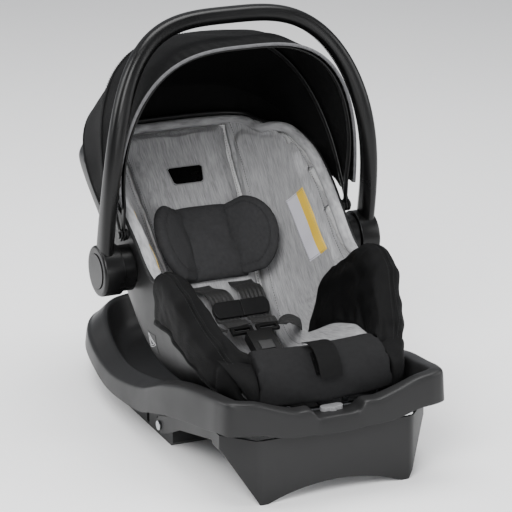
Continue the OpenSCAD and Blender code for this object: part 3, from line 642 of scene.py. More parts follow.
EFFECTS = {
    "melange": make_melange(),
    "weave": make_weave(),
    "moulding": make_moulding(),
    "webbing": make_webbing(),
}


def use(tree, name, inputs):
    return put(tree, "ShaderNodeGroup", inputs, node_tree=EFFECTS[name]).outputs


def new_material(name):
    material = bpy.data.materials.new(name)
    material.use_nodes = True
    tree = material.node_tree
    shader = next(n for n in tree.nodes if n.type == "BSDF_PRINCIPLED")
    return material, tree, shader


def bump(tree, shader, height, strength, distance):
    node = put(tree, "ShaderNodeBump", {"Height": height, "Strength": strength, "Distance": distance})
    tree.links.new(node.outputs[0], shader.inputs["Normal"])


def uneven_gloss(tree, shader, cloudy, smooth, rough):
    gloss = put(tree, "ShaderNodeMapRange", {0: cloudy, 1: 0.3, 2: 0.7, 3: smooth, 4: rough})
    tree.links.new(gloss.outputs[0], shader.inputs["Roughness"])


def grey(v, tint=0.0):
    return (v, v, v * (1 + tint), 1)


def cloth_place(tree):
    return put(tree, "ShaderNodeAttribute", attribute_name="cloth").outputs["Vector"]


def object_place(tree):
    return put(tree, "ShaderNodeTexCoord").outputs["Object"]


def fuzz(shader, weight, shade):
    shader.inputs["Sheen Weight"].default_value = weight
    shader.inputs["Sheen Roughness"].default_value = 0.45
    shader.inputs["Sheen Tint"].default_value = shade


def heather_cloth():
    material, tree, shader = new_material("heather_cloth")
    yarn = use(tree, "melange", {"Place": cloth_place(tree)})
    shade = blend_colour(tree, yarn["Light Yarn"], grey(0.19, 0.02), grey(0.43, 0.02))
    tree.links.new(shade, shader.inputs["Base Color"])
    shader.inputs["Roughness"].default_value = 0.92
    shader.inputs["Specular IOR Level"].default_value = 0.25
    fuzz(shader, 0.12, grey(0.8))
    bump(tree, shader, yarn["Height"], 0.5, 0.0007)
    return material


def woven_cloth(name, dark, light, thread, rough=0.9, sheen=0.12, place=cloth_place, specular=0.25):
    material, tree, shader = new_material(name)
    yarn = use(tree, "weave", {"Place": place(tree), "Thread": thread})
    # the weave's yarn mask carries a faint painted shade where the threads dip
    tree.links.new(blend_colour(tree, yarn["Light Yarn"], grey(dark, 0.04), grey(light, 0.04)),
                   shader.inputs["Base Color"])
    shader.inputs["Roughness"].default_value = rough
    shader.inputs["Specular IOR Level"].default_value = specular
    fuzz(shader, sheen, grey(0.5))
    bump(tree, shader, yarn["Height"], 0.4, 0.0004)
    return material


def webbing_cloth():
    material, tree, shader = new_material("webbing")
    rib = use(tree, "webbing", {"Place": cloth_place(tree)})
    # painted shade: the webbing is darker in its grooves, from the weave's height
    shade = blend_colour(tree, rib["Rib Painted Shade"], grey(0.004), grey(0.017))
    tree.links.new(shade, shader.inputs["Base Color"])
    shader.inputs["Roughness"].default_value = 0.55
    fuzz(shader, 0.05, grey(0.5))
    bump(tree, shader, rib["Height"], 0.6, 0.0005)
    return material


def moulded(name, shade, rough, grain=900.0, wear=0.6, specular=0.4):
    """Moulded plastic with its grain, a faintly uneven gloss and slightly paler edges."""
    material, tree, shader = new_material(name)
    skin = use(tree, "moulding", {"Place": object_place(tree), "Grain": grain, "Wear": wear})
    body = blend_colour(tree, skin["Cloudy"], grey(shade * 0.88, 0.02), grey(shade * 1.12, 0.02))
    worn = grey(min(1, shade * 1.7 + 0.012), 0.02)
    tree.links.new(blend_colour(tree, skin["Worn Edge"], body, worn), shader.inputs["Base Color"])
    uneven_gloss(tree, shader, skin["Cloudy"], rough - 0.05, rough + 0.06)
    shader.inputs["Specular IOR Level"].default_value = specular
    bump(tree, shader, skin["Height"], 0.5, 0.00012)
    return material


def plated_steel():
    material, tree, shader = new_material("plated_steel")
    skin = use(tree, "moulding", {"Place": object_place(tree), "Grain": 500.0, "Wear": 0.4})
    shade = blend_colour(tree, skin["Cloudy"], (0.42, 0.43, 0.45, 1), (0.62, 0.63, 0.65, 1))
    tree.links.new(shade, shader.inputs["Base Color"])
    shader.inputs["Metallic"].default_value = 1.0
    uneven_gloss(tree, shader, skin["Cloudy"], 0.22, 0.38)
    bump(tree, shader, skin["Height"], 0.2, 0.0001)
    return material


def bead_foam():
    material, tree, shader = new_material("bead_foam")
    beads = put(tree, "ShaderNodeTexVoronoi", {"Vector": object_place(tree), "Scale": 300.0})
    # painted shade: each bead darkens towards its edge, where the surface dips between beads
    shade = blend_colour(tree, beads.outputs["Distance"], grey(0.8), grey(0.62))
    tree.links.new(shade, shader.inputs["Base Color"])
    shader.inputs["Roughness"].default_value = 0.8
    bump(tree, shader, calc(tree, "SUBTRACT", 1.0, beads.outputs["Distance"]), 0.5, 0.0008)
    return material


def patch_cloth():
    """Plain two-tone patch: a yellow band along the outer edge, the rest off-white, without print."""
    material, tree, shader = new_material("patch_print")
    where = cloth_place(tree)
    across = put(tree, "ShaderNodeSeparateXYZ", {0: where}).outputs[0]
    band = put(tree, "ShaderNodeMapRange", {0: across, 1: 0.0048, 2: 0.0051, 3: 0.0, 4: 1.0})
    weave = use(tree, "weave", {"Place": where, "Thread": 0.0006})
    colour = blend_colour(tree, band.outputs[0], (0.66, 0.65, 0.72, 1), (0.86, 0.55, 0.02, 1))
    # the weave's yarn mask carries a faint painted shade where the threads dip
    tree.links.new(blend_colour(tree, calc(tree, "MULTIPLY", weave["Light Yarn"], 0.18), colour, grey(0.35)),
                   shader.inputs["Base Color"])
    shader.inputs["Roughness"].default_value = 0.6
    bump(tree, shader, weave["Height"], 0.25, 0.0002)
    return material


def level_film():
    """The level label's plain film with its few fine lines, printed by height only."""
    return moulded("level_film", 0.42, 0.35, grain=300.0, wear=0.2)


MATERIALS = {
    "heather": heather_cloth(),
    "charcoal": woven_cloth("charcoal_knit", 0.026, 0.044, 0.0008, sheen=0.02, specular=0.08),
    "bolster": woven_cloth("bolster_cloth", 0.0085, 0.0155, 0.0009, sheen=0.01, rough=0.75, specular=0.08),
    "black": woven_cloth("black_cloth", 0.0015, 0.0040, 0.0009, sheen=0.0, rough=0.65, specular=0.10),
    "canopy": woven_cloth("canopy_cloth", 0.0015, 0.0040, 0.0008, sheen=0.0, rough=0.65, specular=0.10),
    "piping": woven_cloth("grey_piping", 0.06, 0.13, 0.0010, sheen=0.10),
    "thread": woven_cloth("sewing_thread", 0.004, 0.012, 0.0004, sheen=0.0, rough=0.5, place=object_place),
    "pale_thread": woven_cloth("pale_thread", 0.16, 0.30, 0.0004, sheen=0.0, rough=0.6, place=object_place),
    "webbing": webbing_cloth(),
    "base": moulded("base_plastic", 0.0125, 0.40, wear=0.3, specular=0.22),
    "shell": moulded("shell_plastic", 0.010, 0.42, wear=0.3, specular=0.22),
    "black_plastic": moulded("black_plastic", 0.0022, 0.30, wear=0.3, specular=0.22),
    "grip": moulded("grip_plastic", 0.0025, 0.30, grain=1500.0, wear=0.2, specular=0.24),
    "badge": moulded("badge_plastic", 0.0015, 0.25, wear=0.1),
    "button_grey": moulded("button_grey", 0.20, 0.40),
    "buckle_grey": moulded("buckle_grey", 0.012, 0.35),
    "steel": plated_steel(),
    "foam": bead_foam(),
    "patch": patch_cloth(),
    "film": level_film(),
}


def dress(obj, material):
    obj.data.materials.clear()
    obj.data.materials.append(MATERIALS[material])
    return obj


# ---- repeated things, made by geometry nodes ----
def stitch_tree():
    """Stitches of a given size at a given pitch along curves."""
    tree = bpy.data.node_groups.new("stitch_row", "GeometryNodeTree")
    sockets = (("Seam", "NodeSocketGeometry", None), ("Pitch", FLOAT, 0.0042), ("Length", FLOAT, 0.0030),
               ("Thickness", FLOAT, 0.0008), ("Thread", "NodeSocketMaterial", None))
    for label, kind, value in sockets:
        socket = tree.interface.new_socket(label, in_out="INPUT", socket_type=kind)
        if value is not None:
            socket.default_value = value
    tree.interface.new_socket("Stitches", in_out="OUTPUT", socket_type="NodeSocketGeometry")
    given = tree.nodes.new("NodeGroupInput").outputs
    spacing = {"Curve": given["Seam"], "Length": given["Pitch"]}
    points = put(tree, "GeometryNodeResampleCurve", spacing, mode="LENGTH")
    tangent = put(tree, "GeometryNodeInputTangent").outputs[0]
    turn = put(tree, "FunctionNodeAlignRotationToVector", {"Vector": tangent}, axis="Z")
    ball = put(tree, "GeometryNodeMeshUVSphere", {"Segments": 6, "Rings": 4, "Radius": 0.5})
    thick = given["Thickness"]
    size = put(tree, "ShaderNodeCombineXYZ", {0: thick, 1: thick, 2: given["Length"]})
    rows = put(tree, "GeometryNodeInstanceOnPoints",
               {"Points": points.outputs[0], "Instance": ball.outputs["Mesh"],
                "Rotation": turn.outputs[0], "Scale": size.outputs[0]})
    real = put(tree, "GeometryNodeRealizeInstances", {0: rows.outputs[0]})
    smooth = put(tree, "GeometryNodeSetShadeSmooth", {0: real.outputs[0]})
    done = put(tree, "GeometryNodeSetMaterial", {"Geometry": smooth.outputs[0], "Material": given["Thread"]})
    tree.links.new(done.outputs[0], tree.nodes.new("NodeGroupOutput").inputs[0])
    return tree


STITCH_ROW = stitch_tree()


def sew(name, seams, thread="thread", **sizes):
    """Rows of stitches along several seams, as one mesh."""
    curve = bpy.data.curves.new(name, "CURVE")
    curve.dimensions = "3D"
    for seam in seams:
        spline = curve.splines.new("POLY")
        spots = place(seam)
        spline.points.add(len(spots) - 1)
        spline.points.foreach_set("co", np.concatenate([spots, np.ones((len(spots), 1))], 1).ravel())
    source = bpy.data.objects.new(name + "_seam", curve)
    bpy.context.collection.objects.link(source)
    rows = source.modifiers.new("stitches", "NODES")
    rows.node_group = STITCH_ROW
    ids = {item.name: item.identifier for item in STITCH_ROW.interface.items_tree if item.in_out == "INPUT"}
    rows[ids["Thread"]] = MATERIALS[thread]
    for key, value in sizes.items():
        rows[ids[key.capitalize()]] = value
    graph = bpy.context.evaluated_depsgraph_get()
    mesh = bpy.data.meshes.new_from_object(source.evaluated_get(graph), depsgraph=graph)
    mesh.name = name
    obj = bpy.data.objects.new(name, mesh)
    bpy.context.collection.objects.link(obj)
    bpy.data.objects.remove(source)
    return obj


# ---- vehicle base ----
def rim_at(w):
    """Rim values at w, which runs from the front centre round the right side to the rear and back."""
    last = len(RIM) - 1
    w = np.mod(w, 2 * last)
    row = along(RIM, np.where(w <= last, w, 2 * last - w))
    side = np.where(w <= last, 1.0, -1.0)
    return np.stack([side * row[..., 0] * BASE_W / 2, BASE_FRONT + np.clip(row[..., 1], 0, 1) * BASE_L,
                     row[..., 2], row[..., 3], row[..., 4], row[..., 5] * RIM_FLANGE], -1)


def floor_z(y):
    return 42 + 54 * np.clip((-60 - y) / 155, 0, 1)


def tray_profile(w, t):
    """The tray's face at stations w, from the skirt's lower edge to the floor opening."""
    r = rim_at(w)
    d = unit(rim_at(w + 0.956)[..., :2] - rim_at(w - 0.956)[..., :2])
    v = np.stack([-d[..., 1], d[..., 0]], -1)
    edge, z, drop, rise, wide = r[..., :2], r[..., 2:3], r[..., 3:4], r[..., 4:5], r[..., 5:6]
    inner = np.concatenate([edge[..., :1] * 0.42, mix(edge[..., 1:], 20, 0.60)], -1)
    foot = edge + v * (wide + 12)
    knee = mix(foot, inner, 0.12)
    rows = [(edge - v * (2.5 - t), z - drop), (edge + v * t, z - 6 - t * 0.5),
            (edge + v * (1.6 + t * 0.8), z - 1.6 - t * 0.9), (edge + v * 6, z - t),
            (edge + v * (wide - 4), z + rise - t), (edge + v * (wide - t * 0.4), z + rise - 3 - t),
            (foot - v * t * 0.6, floor_z(foot[..., 1:]) + 12 - t),
            (knee, floor_z(knee[..., 1:]) - t), (inner, floor_z(inner[..., 1:]) - t)]
    return [np.concatenate(row, -1) for row in rows]


def prism(name, outline, z0, z1):
    """A closed block over an outline of (x, y) points."""
    n = len(outline)
    points = [(x, y, z) for z in (z0, z1) for x, y in outline]
    walls = [(k, (k + 1) % n, n + (k + 1) % n, n + k) for k in range(n)]
    return build(name, points, [tuple(range(n))[::-1], tuple(range(n, 2 * n))] + walls)


def button_outline(grow, steps=14):
    spots = []
    for x, y, r, a0, a1 in ((10, 0.5, 6.5, -60, 90), (-10, 0.5, 6.5, 90, 240), (0, -1.5, 7, 215, 325)):
        for a in np.radians(np.linspace(a0, a1, steps)):
            spots.append((x + (r + grow) * math.cos(a), -252 + y + (r + grow) * math.sin(a)))
    return spots


def cut(obj, cutter):
    tool = obj.modifiers.new("cut", "BOOLEAN")
    tool.operation, tool.solver, tool.object = "DIFFERENCE", "EXACT", cutter
    settle(obj)
    bpy.data.objects.remove(cutter)
    return obj


def make_base_tray():
    w = np.linspace(0, 2 * (len(RIM) - 1), 420, endpoint=False)
    corners = tray_profile(w, 0) + tray_profile(w, BASE_WALL)[::-1]
    cuts = [1, 4, 3, 3, 6, 5, 14, 10, 1]
    profile = np.stack(round_corners(corners, cuts + cuts[::-1]), 1)
    faces = grid_faces(*profile.shape[:2], wrap_rows=True, wrap_cols=True)
    tray = build("base_tray_moulding", profile, faces, sharp=60)
    cut(tray, prism("cutter", button_outline(0.7), 80, 140))
    for x in (-44, 44):
        cut(tray, prism("cutter", [(x - 6, -208), (x + 6, -208), (x + 6, -188), (x - 6, -188)], 70, 115))
    tidy_faces(tray, 42)
    return dress(tray, "base")


def soften(node, material, width=0.8, angle=32, steps=3):
    """Keeps a modelled node as it is, with rounded edges and its own material."""
    obj = frame["nodes"][node]
    weld = obj.modifiers.new("weld", "WELD")
    weld.merge_threshold = 2e-5
    flats = obj.modifiers.new("flats", "DECIMATE")
    flats.decimate_type, flats.angle_limit = "DISSOLVE", math.radians(1)
    bevel = obj.modifiers.new("round_edges", "BEVEL")
    bevel.width, bevel.segments, bevel.limit_method = width * MM, steps, "ANGLE"
    bevel.angle_limit = math.radians(angle)
    bevel.harden_normals = False
    normal = obj.modifiers.new("even_shading", "WEIGHTED_NORMAL")
    normal.keep_sharp = True
    obj.data.materials.clear()
    obj.data.materials.append(MATERIALS[material])
    for polygon in obj.data.polygons:
        polygon.material_index = 0
        polygon.use_smooth = True
    return obj


# ---- carrier shell and pads ----
def make_shell():
    u = np.linspace(0, LAST_ROW, 150)[:, None]
    a = np.degrees(np.linspace(-math.pi / 2, math.pi / 2, 121))[None, :]
    shell = slab("carrier_shell_moulding", bucket(u, a, 0), bucket(u, a, SHELL_WALL), sharp=70)
    rim_u = np.linspace(0, 9.4, 120)
    keel = [bucket(0, x, 1.75) for x in np.linspace(-90, 90, 60)]
    left = bucket(rim_u[::-1], -90, 1.75)
    right = bucket(rim_u, 90, 1.75)
    lip = tube("rim_lip", smooth_line(np.concatenate([left[:-1], keel[1:-1], right[1:]])[::4], 420), 2.9, 12)
    return dress(join("carrier_shell_moulding", [shell, lip]), "shell")


def seat_grid(front):
    u = np.linspace(0.9, 12.2, 110)[:, None]
    q = np.linspace(-1, 1, 41)[None, :]
    c = along(CUSHION, u)
    x = (c[..., 0] - 0.4) * q
    if front:
        groove = 3.0 * np.abs(q) ** 14
        n = cushion_normal(u)
        y = c[..., 1] - n[..., 0] * groove
        z = c[..., 2] - n[..., 1] * groove
        return np.stack(np.broadcast_arrays(x, y, z), -1)
    return bucket(u, angle_at(u, x, PAD_IN), PAD_IN)


def side_pad_end(k):
    return mix(12.4, 10.6, k)


def side_grid(front):
    t = np.linspace(0, 1, 90)[:, None]
    k = np.linspace(0, 1, 32)[None, :]
    u = mix(0.9, side_pad_end(k), t)
    if front:
        return side_face(u, k)
    c = along(CUSHION, u)
    w = along(BUCKET, u)[..., 0] * HALF_SHELL - PAD_IN
    x = mix(c[..., 0] + 0.4, w, k**0.8)
    return bucket(u, angle_at(u, x, PAD_IN), PAD_IN)


def wrinkle(obj, size, deep, seed, towards):
    """Slight hand-made unevenness over a pad's visible face."""
    p = unplace(points_of(obj))
    n = np.zeros(len(p) * 3, np.float32)
    obj.data.vertex_normals.foreach_get("vector", n)
    n = n.reshape(-1, 3)
    face = np.clip(np.sum(unit(np.asarray(towards) - p) * n, -1), 0, 1)
    set_points(obj, place(p + n * (ripple(p, size, seed) * deep * face)[:, None]))
    return obj


CENTRE_LINE = [row[1:] for row in CUSHION]


def make_pads():
    seat = swell(slab("seat_pad_cushion", seat_grid(True), seat_grid(False)), SIT_POINT, 4.5, 4.0, 6)
    wrinkle(seat, 70, 0.7, 3, SIT_POINT)
    lay_flat(seat, CENTRE_LINE)
    right = swell(slab("side_pad_cushion_right", side_grid(True), side_grid(False)), SIT_POINT, 4.5, 4.0, 7)
    wrinkle(right, 80, 0.9, 5, SIT_POINT)
    lay_flat(right, CENTRE_LINE)
    left = mirror_copy(right, "side_pad_cushion_left")
    for pad in (seat, left, right):
        dress(pad, "heather")
    return seat, left, right


# The front cushion's lower and upper face on its centre line, in y and z.
FRONT_UNDER = [(-164, 128), (-190, 136), (-212, 145), (-227, 142), (-234, 134), (-234.5, 121)]
FRONT_OVER = [(-160, 171), (-184, 185), (-210, 185), (-230, 172), (-240, 150), (-241, 124)]
FRONT_SEEN_FROM = (0, -330, 330)


def front_grid(lower):
    k = np.linspace(0, 1, 70)[:, None]
    q = np.linspace(-1, 1, 90)[None, :]
    p = along(FRONT_UNDER if lower else FRONT_OVER, k * 5)
    w = mix(87, 108, k)
    y = p[..., 0] + 7 * q * q * k
    z = p[..., 1] + (3 if lower else 4) * q * q
    return np.stack(np.broadcast_arrays(w * q, y, z), -1)


def make_front_cushion():
    roll = slab("front_cushion_roll", front_grid(False), front_grid(True))
    swell(roll, FRONT_SEEN_FROM, 4.5, 4.0, 5, behind=0.06)
    wrinkle(roll, 55, 0.9, 8, FRONT_SEEN_FROM)
    lay_flat(roll, FRONT_OVER)
    return dress(roll, "bolster")


def pillow_grid(w0, w1, h, t, top):
    s = np.linspace(0, 1, 60)[:, None]
    q = np.linspace(-1, 1, 50)[None, :]
    e = np.sqrt(np.maximum(0, 1 - np.abs(q) ** 4)) * np.sqrt(np.maximum(0, 1 - np.abs(2 * s - 1) ** 4))
    high = 3 + (t - 3) * (0.35 + 0.65 * e) if top else 0 * e
    return on_back(mix(w0, w1, s) * q, 97 + h * s, 3 + high)


def d_place(side, a, b, c):
    """A point of a pillow wing: a away from its seam, b up, c through its thickness."""
    t = math.radians(-38)
    x = side * (46 + a * math.cos(t) + c * math.sin(t))
    return on_back(x, 94 + b, 10 - a * math.sin(t) + c * math.cos(t))


def d_outline(n, closed=True):
    """The wing's edge: rounded front and, when closed, the seam beside the pillow."""
    a = np.radians(np.linspace(-72, 72, n))
    curve = [(14 + 57 * math.cos(x), 62 + 65 * math.sin(x)) for x in a]
    edge = [(-4, 9), (-2, 4), *curve, (-2, 121), (-4, 115)]
    if closed:
        edge += [(-9, 62), (-4, 9)]
    return evenly(np.array(edge, float), n)


def make_pillow():
    centre = slab("pillow_centre", pillow_grid(50, 46, 122, 22, True), pillow_grid(50, 46, 122, 22, False))
    swell(centre, SIT_POINT, 4.0, 4.0, 5)
    wrinkle(centre, 45, 1.0, 12, SIT_POINT)
    lay_flat(centre, CENTRE_LINE)
    edge = d_outline(90)
    middle = np.array([16.0, 62.0])
    edge_shares = 0.9 + 0.1 * np.sin(np.linspace(0.1, 1, 10) * math.pi / 2)
    share = np.concatenate([np.linspace(0, 0.9, 14), edge_shares])
    spot = middle + (edge - middle)[None] * share[:, None, None]
    bulge = 10 * np.sqrt(np.maximum(0, 1 - share**7)) + 0.3
    seam = 1.6 * np.exp(-((share - 0.80) / 0.045) ** 2)
    top = d_place(1, spot[..., 0], spot[..., 1], (10 + bulge - seam)[:, None])
    low = d_place(1, spot[..., 0], spot[..., 1], (10 - bulge * 0.95)[:, None])
    right = slab("pillow_wing_right", top, low)
    tidy_faces(right)
    swell(right, SIT_POINT, 4.0, 4.0, 4)
    wrinkle(right, 40, 0.9, 15, SIT_POINT)
    lay_flat(right, CENTRE_LINE)
    left = mirror_copy(right, "pillow_wing_left")
    for pad in (centre, left, right):
        dress(pad, "charcoal")
    arc = [d_place(1, *(middle + (d_outline(90, False) - middle) * 0.80).T, 21.4)]
    return centre, left, right, arc


# ---- wing covers ----
# The wing cover's inner edge, from the shell's rim to the seat, as places on the side cushion's face.
WING_EDGE = [(9.0, .97), (8.43, .91), (7.88, .83), (7.72, .73), (7.72, .62), (7.95, .48), (8.4, .26)]
# Its lower edge, from there to the front cushion.
WING_FOOT = [(8.4, .26), (9.38, .41), (10.9, .44), (12.1, .36), (13.2, .12), (13.9, .05)]
# How far its padded crest stands above the rim, by section.
WING_CREST = [(8.7, 0), (9.5, 3), (10.5, 12), (11.2, 20), (11.9, 25), (12.6, 23), (13.2, 17), (13.95, 8)]


def wing_grid(t, puff=0.0):
    """The right wing cover's face, t out from its lining: rows back to front, columns outside to inside."""
    rows = []
    for share in np.linspace(0, 1, 90):
        u = mix(8.7, 13.95, share)
        lift = np.interp(u, *np.transpose(WING_CREST))
        hem = mix(78, 62, share**2)
        row = [bucket(u, mix(hem, 88, k), -1.2 - t) + [2.0 * k, 0, lift * 0.5 * k**3]
               for k in (0, 0.4, 0.7, 1)]
        p = along(BUCKET, u)
        x = p[0] * HALF_SHELL
        row += [np.array([x + 2.5 + t, p[1], p[2] + lift * 0.75]),
                np.array([x - 3, p[1], p[2] + 1.2 + t + lift]),
                np.array([x - PAD_IN, p[1], p[2] + t * 0.6 + lift * 0.92])]
        foot = along(WING_FOOT, share * 5)
        for c in (0.12, 0.3, 0.5, 0.7, 0.87, 1.0):
            edge = along(WING_EDGE, c * 6)
            straight = mix(np.array(WING_EDGE[0]), np.array(WING_EDGE[-1]), c)
            v, k = mix(np.array([u, 0.97]), foot, c) + (edge - straight) * (1 - share) ** 2
            face = side_face(v, k)
            look = unit(np.array([0.0, face[1] + 20, 330.0]) - face)
            thick = t + 3 + puff * math.sin(math.pi * c) - 3 * c**4
            row.append(face + look * thick + [0, 0, lift * 0.9 * (1 - c) ** 1.3])
        rows.append(along(np.array(row), np.linspace(0, len(row) - 1, 120)))
    return np.array(rows)


def rest_on(tree, points, towards, gap):
    """Lifts what lies below a surface to gap mm above it, along the line to `towards`."""
    eye = place(towards)
    out = []
    for p in place(np.asarray(points, float).reshape(-1, 3)):
        way = Vector(unit(eye - p))
        hit = tree.ray_cast(Vector(p) + way * 40 * MM, -way, (40 + gap) * MM)
        out.append(hit[0] + way * gap * MM if hit[0] else Vector(p))
    return unplace(np.array(out)).reshape(np.shape(points))


def make_wings(tree):
    low, top = wing_grid(0.1), wing_grid(4.6, 5.0)
    inner = np.clip((np.arange(low.shape[1]) - 62) / 12, 0, 1)[None, :, None]
    raised = (rest_on(tree, low, (0, -90, 360), 0.6) - low) * inner
    low, top = low + raised, top + raised
    n = grid_normals(top, (150, -120, 600))
    rows, cols = top.shape[:2]
    r = np.linspace(0, 1, rows)[:, None]
    c = np.linspace(0, 1, cols)[None, :]
    gathers = np.sin(r * 60 + 2.2 * ripple(top, 90, 4)) * 1.7 * np.clip((c - 0.84) / 0.14, 0, 1)
    folds = ripple(top, 60, 21) * 1.7 + ripple(top, 26, 22) * 0.45
    hem = -1.6 * np.exp(-((c - 0.05) / 0.010) ** 2) + 0.9 * (c < 0.045)
    line = -1.8 * np.exp(-((c - 0.42) / 0.008) ** 2)
    line = line - 1.5 * np.exp(-((r - 0.74 - 0.2 * c) / 0.012) ** 2) * (c < 0.42)
    ends = np.minimum(np.minimum(r, 1 - r) / 0.04, np.minimum(c, 1 - c) / 0.025)
    soft = np.sqrt(np.clip(1 - (1 - np.clip(ends, 0, 1)) ** 2, 0, 1))
    relief = (gathers + folds + hem + line) * soft
    skin = low + (top - low) * (0.2 + 0.8 * soft)[..., None] + n * relief[..., None]
    right = slab("wing_cover_cloth_right", skin, low, 50)
    left = mirror_copy(right, "wing_cover_cloth_left")
    seams = [skin[3:-3, j] + n[3:-3, j] * 0.3 for j in (4, 48, 53)]
    for pad in (left, right):
        dress(pad, "black")
    return left, right, seams


def make_binding():
    """The padded edge that carries the cover from the cushions over the foam to the shell's rim."""
    u = np.linspace(0.55, 8.6, 110)
    head = np.array([bucket(0.55, x, 11) for x in np.linspace(-89, 89, 60)])
    path = np.concatenate([bucket(u[::-1], -90, 11)[:-1], head, bucket(u, 90, 11)[1:]])
    path = evenly(smooth_line(path[::5], 500), 420) - [0, 0, 1.0]
    roll = tube("cover_edge_roll", path, 8.6, 20, squeeze=0.85)
    wrinkle(roll, 30, 0.5, 51, SIT_POINT)
    return dress(roll, "heather")


def make_corners():
    """Black cover between the wing covers and the front cushion, on both sides."""
    n, m = 40, 50
    r = np.linspace(0, 1, n)[:, None]
    q = np.linspace(0, 1, m)[None, :]
    inner = along([(84, -156, 160), (92, -186, 174), (97, -210, 176), (100, -230, 164), (101, -238, 146),
                   (101, -238, 122)], r * 5)
    outer = along([(146, -150, 198), (140, -180, 186), (132, -206, 172), (124, -224, 158), (117, -236, 142),
                   (110, -238, 122)], r * 5)
    face = mix(inner, outer, q[..., None])
    out = unit(face - np.array([60.0, -150.0, 110.0]))
    dome = np.sin(math.pi * q) ** 0.7 * np.sin(math.pi * (0.08 + 0.84 * r)) ** 0.5
    puff = 5 * dome + ripple(face, 40, 61) * 1.1
    top = face + out * puff[..., None]
    right = slab("front_corner_right", top, face - out * 4.0, 60)
    left = mirror_copy(right, "front_corner_left")
    return dress(join("front_corner_covers", [right, left]), "black")


# ---- harness ----
# Straps, hung from their slots to the buckle; a shoulder strap's upper part is given on the seat back.
SHOULDER_ON_BACK = [(34, 96, 3), (33, 84, 14), (28, 66, 44), (25, 45, 56.4), (24.5, 15, 57)]
SHOULDER_END = [(22.5, 27, 151.5), (20.5, 12.6, 150)]
LAP = [(98, 45, 119), (86, 37, 132), (70, 26, 143), (54, 14, 148), (42, 7, 147)]
CROTCH = [(0, -25, 109.5), (0, -27, 115), (0, -28, 123)]
FLAP = [(0, -190, 193), (0, -208, 198), (0, -227, 196), (0, -244, 181), (0, -252, 163)]


def make_harness():
    made = []
    for s, name in ((1, "right"), (-1, "left")):
        upper = [on_back(s * x, up, out) for x, up, out in SHOULDER_ON_BACK]
        path = smooth_line(np.array([*upper, *(np.array(SHOULDER_END) * [s, 1, 1])]), 90)
        made.append(webbing("shoulder_webbing_" + name, path, SHOULDER_W))
        lap = smooth_line(np.array(LAP) * [s, 1.0, 1], 50)
        made.append(webbing("lap_webbing_" + name, lap, LAP_W, across=(s * 0.5, 0.85, 0)))
    made.append(webbing("crotch_webbing", smooth_line(CROTCH, 20), CROTCH_W))
    made.append(webbing("adjuster_flap_cloth", smooth_line(FLAP, 70), FLAP_W, FLAP_T, cup=0.3))
    for obj in made[:-1]:
        dress(obj, "webbing")
    dress(made[-1], "black")
    return made


# ---- handle ----
def make_handle():
    s = mix(0.012, 0.988, np.linspace(0, 1, 260))
    path = bow_point(s)
    t = unit(np.gradient(path, axis=0))
    wide = unit(np.cross(t, np.broadcast_to([0, 1, 0.001], t.shape)))
    deep = np.cross(wide, t)
    e = np.abs(2 * s - 1) ** 6
    size_y, size_in = mix(26, 40, e)[:, None, None], mix(24, 19, e)[:, None, None]
    a = np.linspace(0, 2 * math.pi, 40, endpoint=False)[None, :, None]
    ring_a, ring_b = (np.sign(f) * np.abs(f) ** 0.8 for f in (np.cos(a), np.sin(a)))
    groove = 1 - 0.05 * np.exp(-((np.sin(a)) / 0.16) ** 2) * (np.cos(a) > 0)
    points = path[:, None] + wide[:, None] * size_in / 2 * ring_a * groove
    points = points + deep[:, None] * size_y / 2 * ring_b
    faces = grid_faces(*points.shape[:2], wrap_cols=True)
    faces += [tuple(range(40))[::-1], tuple(259 * 40 + k for k in range(40))]
    bow = build("handle_arch", points, faces, sharp=50)
    parts = [bow]
    for side in (1, -1):
        corners = [(HUB_IN, 18.5), (HUB_IN, 37), (HUB_OUT, 37), (HUB_OUT, 25.3), (HUB_OUT - 5, 25.3),
                   (HUB_OUT - 17, 25.3), (HUB_OUT - 17, 18.5)]
        profile = round_corners([np.array(p, float) for p in corners], [0, 1.5, 4.5, 1.2, 0, 0, 0])
        parts.append(lathe_x("hub_disc", profile, HUB_Y, HUB_Z, side, 96))
    handle = join("handle_moulding", parts)
    return dress(handle, "grip")


# ---- canopy ----
def panel(name, a0, a1, seed, pucker):
    """One stretched cloth panel between two hoops, sagging a little between them."""
    n, m = 90, 221
    angles = np.linspace(a0, a1, n)
    rows = np.array([canopy_arc(a, 0, m, CANOPY_HALF - 1) for a in angles])
    under = np.array([canopy_arc(a, CLOTH_T, m, CANOPY_HALF - 3) for a in angles])
    out = unit(rows - [0, CANOPY_Y, CANOPY_Z])
    r = np.linspace(0, 1, n)[:, None]
    c = np.linspace(0, 1, m)[None, :]
    sag = -5.5 * np.sin(math.pi * r) ** 1.2 * np.clip(np.minimum(c, 1 - c) * 9, 0, 1)
    waves = np.sin(c * 250 + 5 * ripple(rows * [1, 0.25, 0.25], 90, seed)) * pucker
    uneven = 0.35 + 0.65 * np.clip(ripple(rows, 120, seed + 2) + 0.6, 0, 1)
    near_hem = np.exp(-((1 - r) / 0.16) ** 2) * uneven
    drape = ripple(rows, 75, seed + 1) * 1.3 * np.sin(math.pi * r) ** 0.6 + waves * near_hem
    lift = (np.minimum(sag + drape, 1.5))[..., None] * out
    return slab(name, rows + lift, under + lift, 60), rows + lift


def cloth_area(grid):
    """Area of a grid of points, in square metres."""
    a, b = np.diff(grid, axis=0)[:, 1:], np.diff(grid, axis=1)[1:]
    return np.linalg.norm(np.cross(a, b), axis=-1).sum() * MM * MM


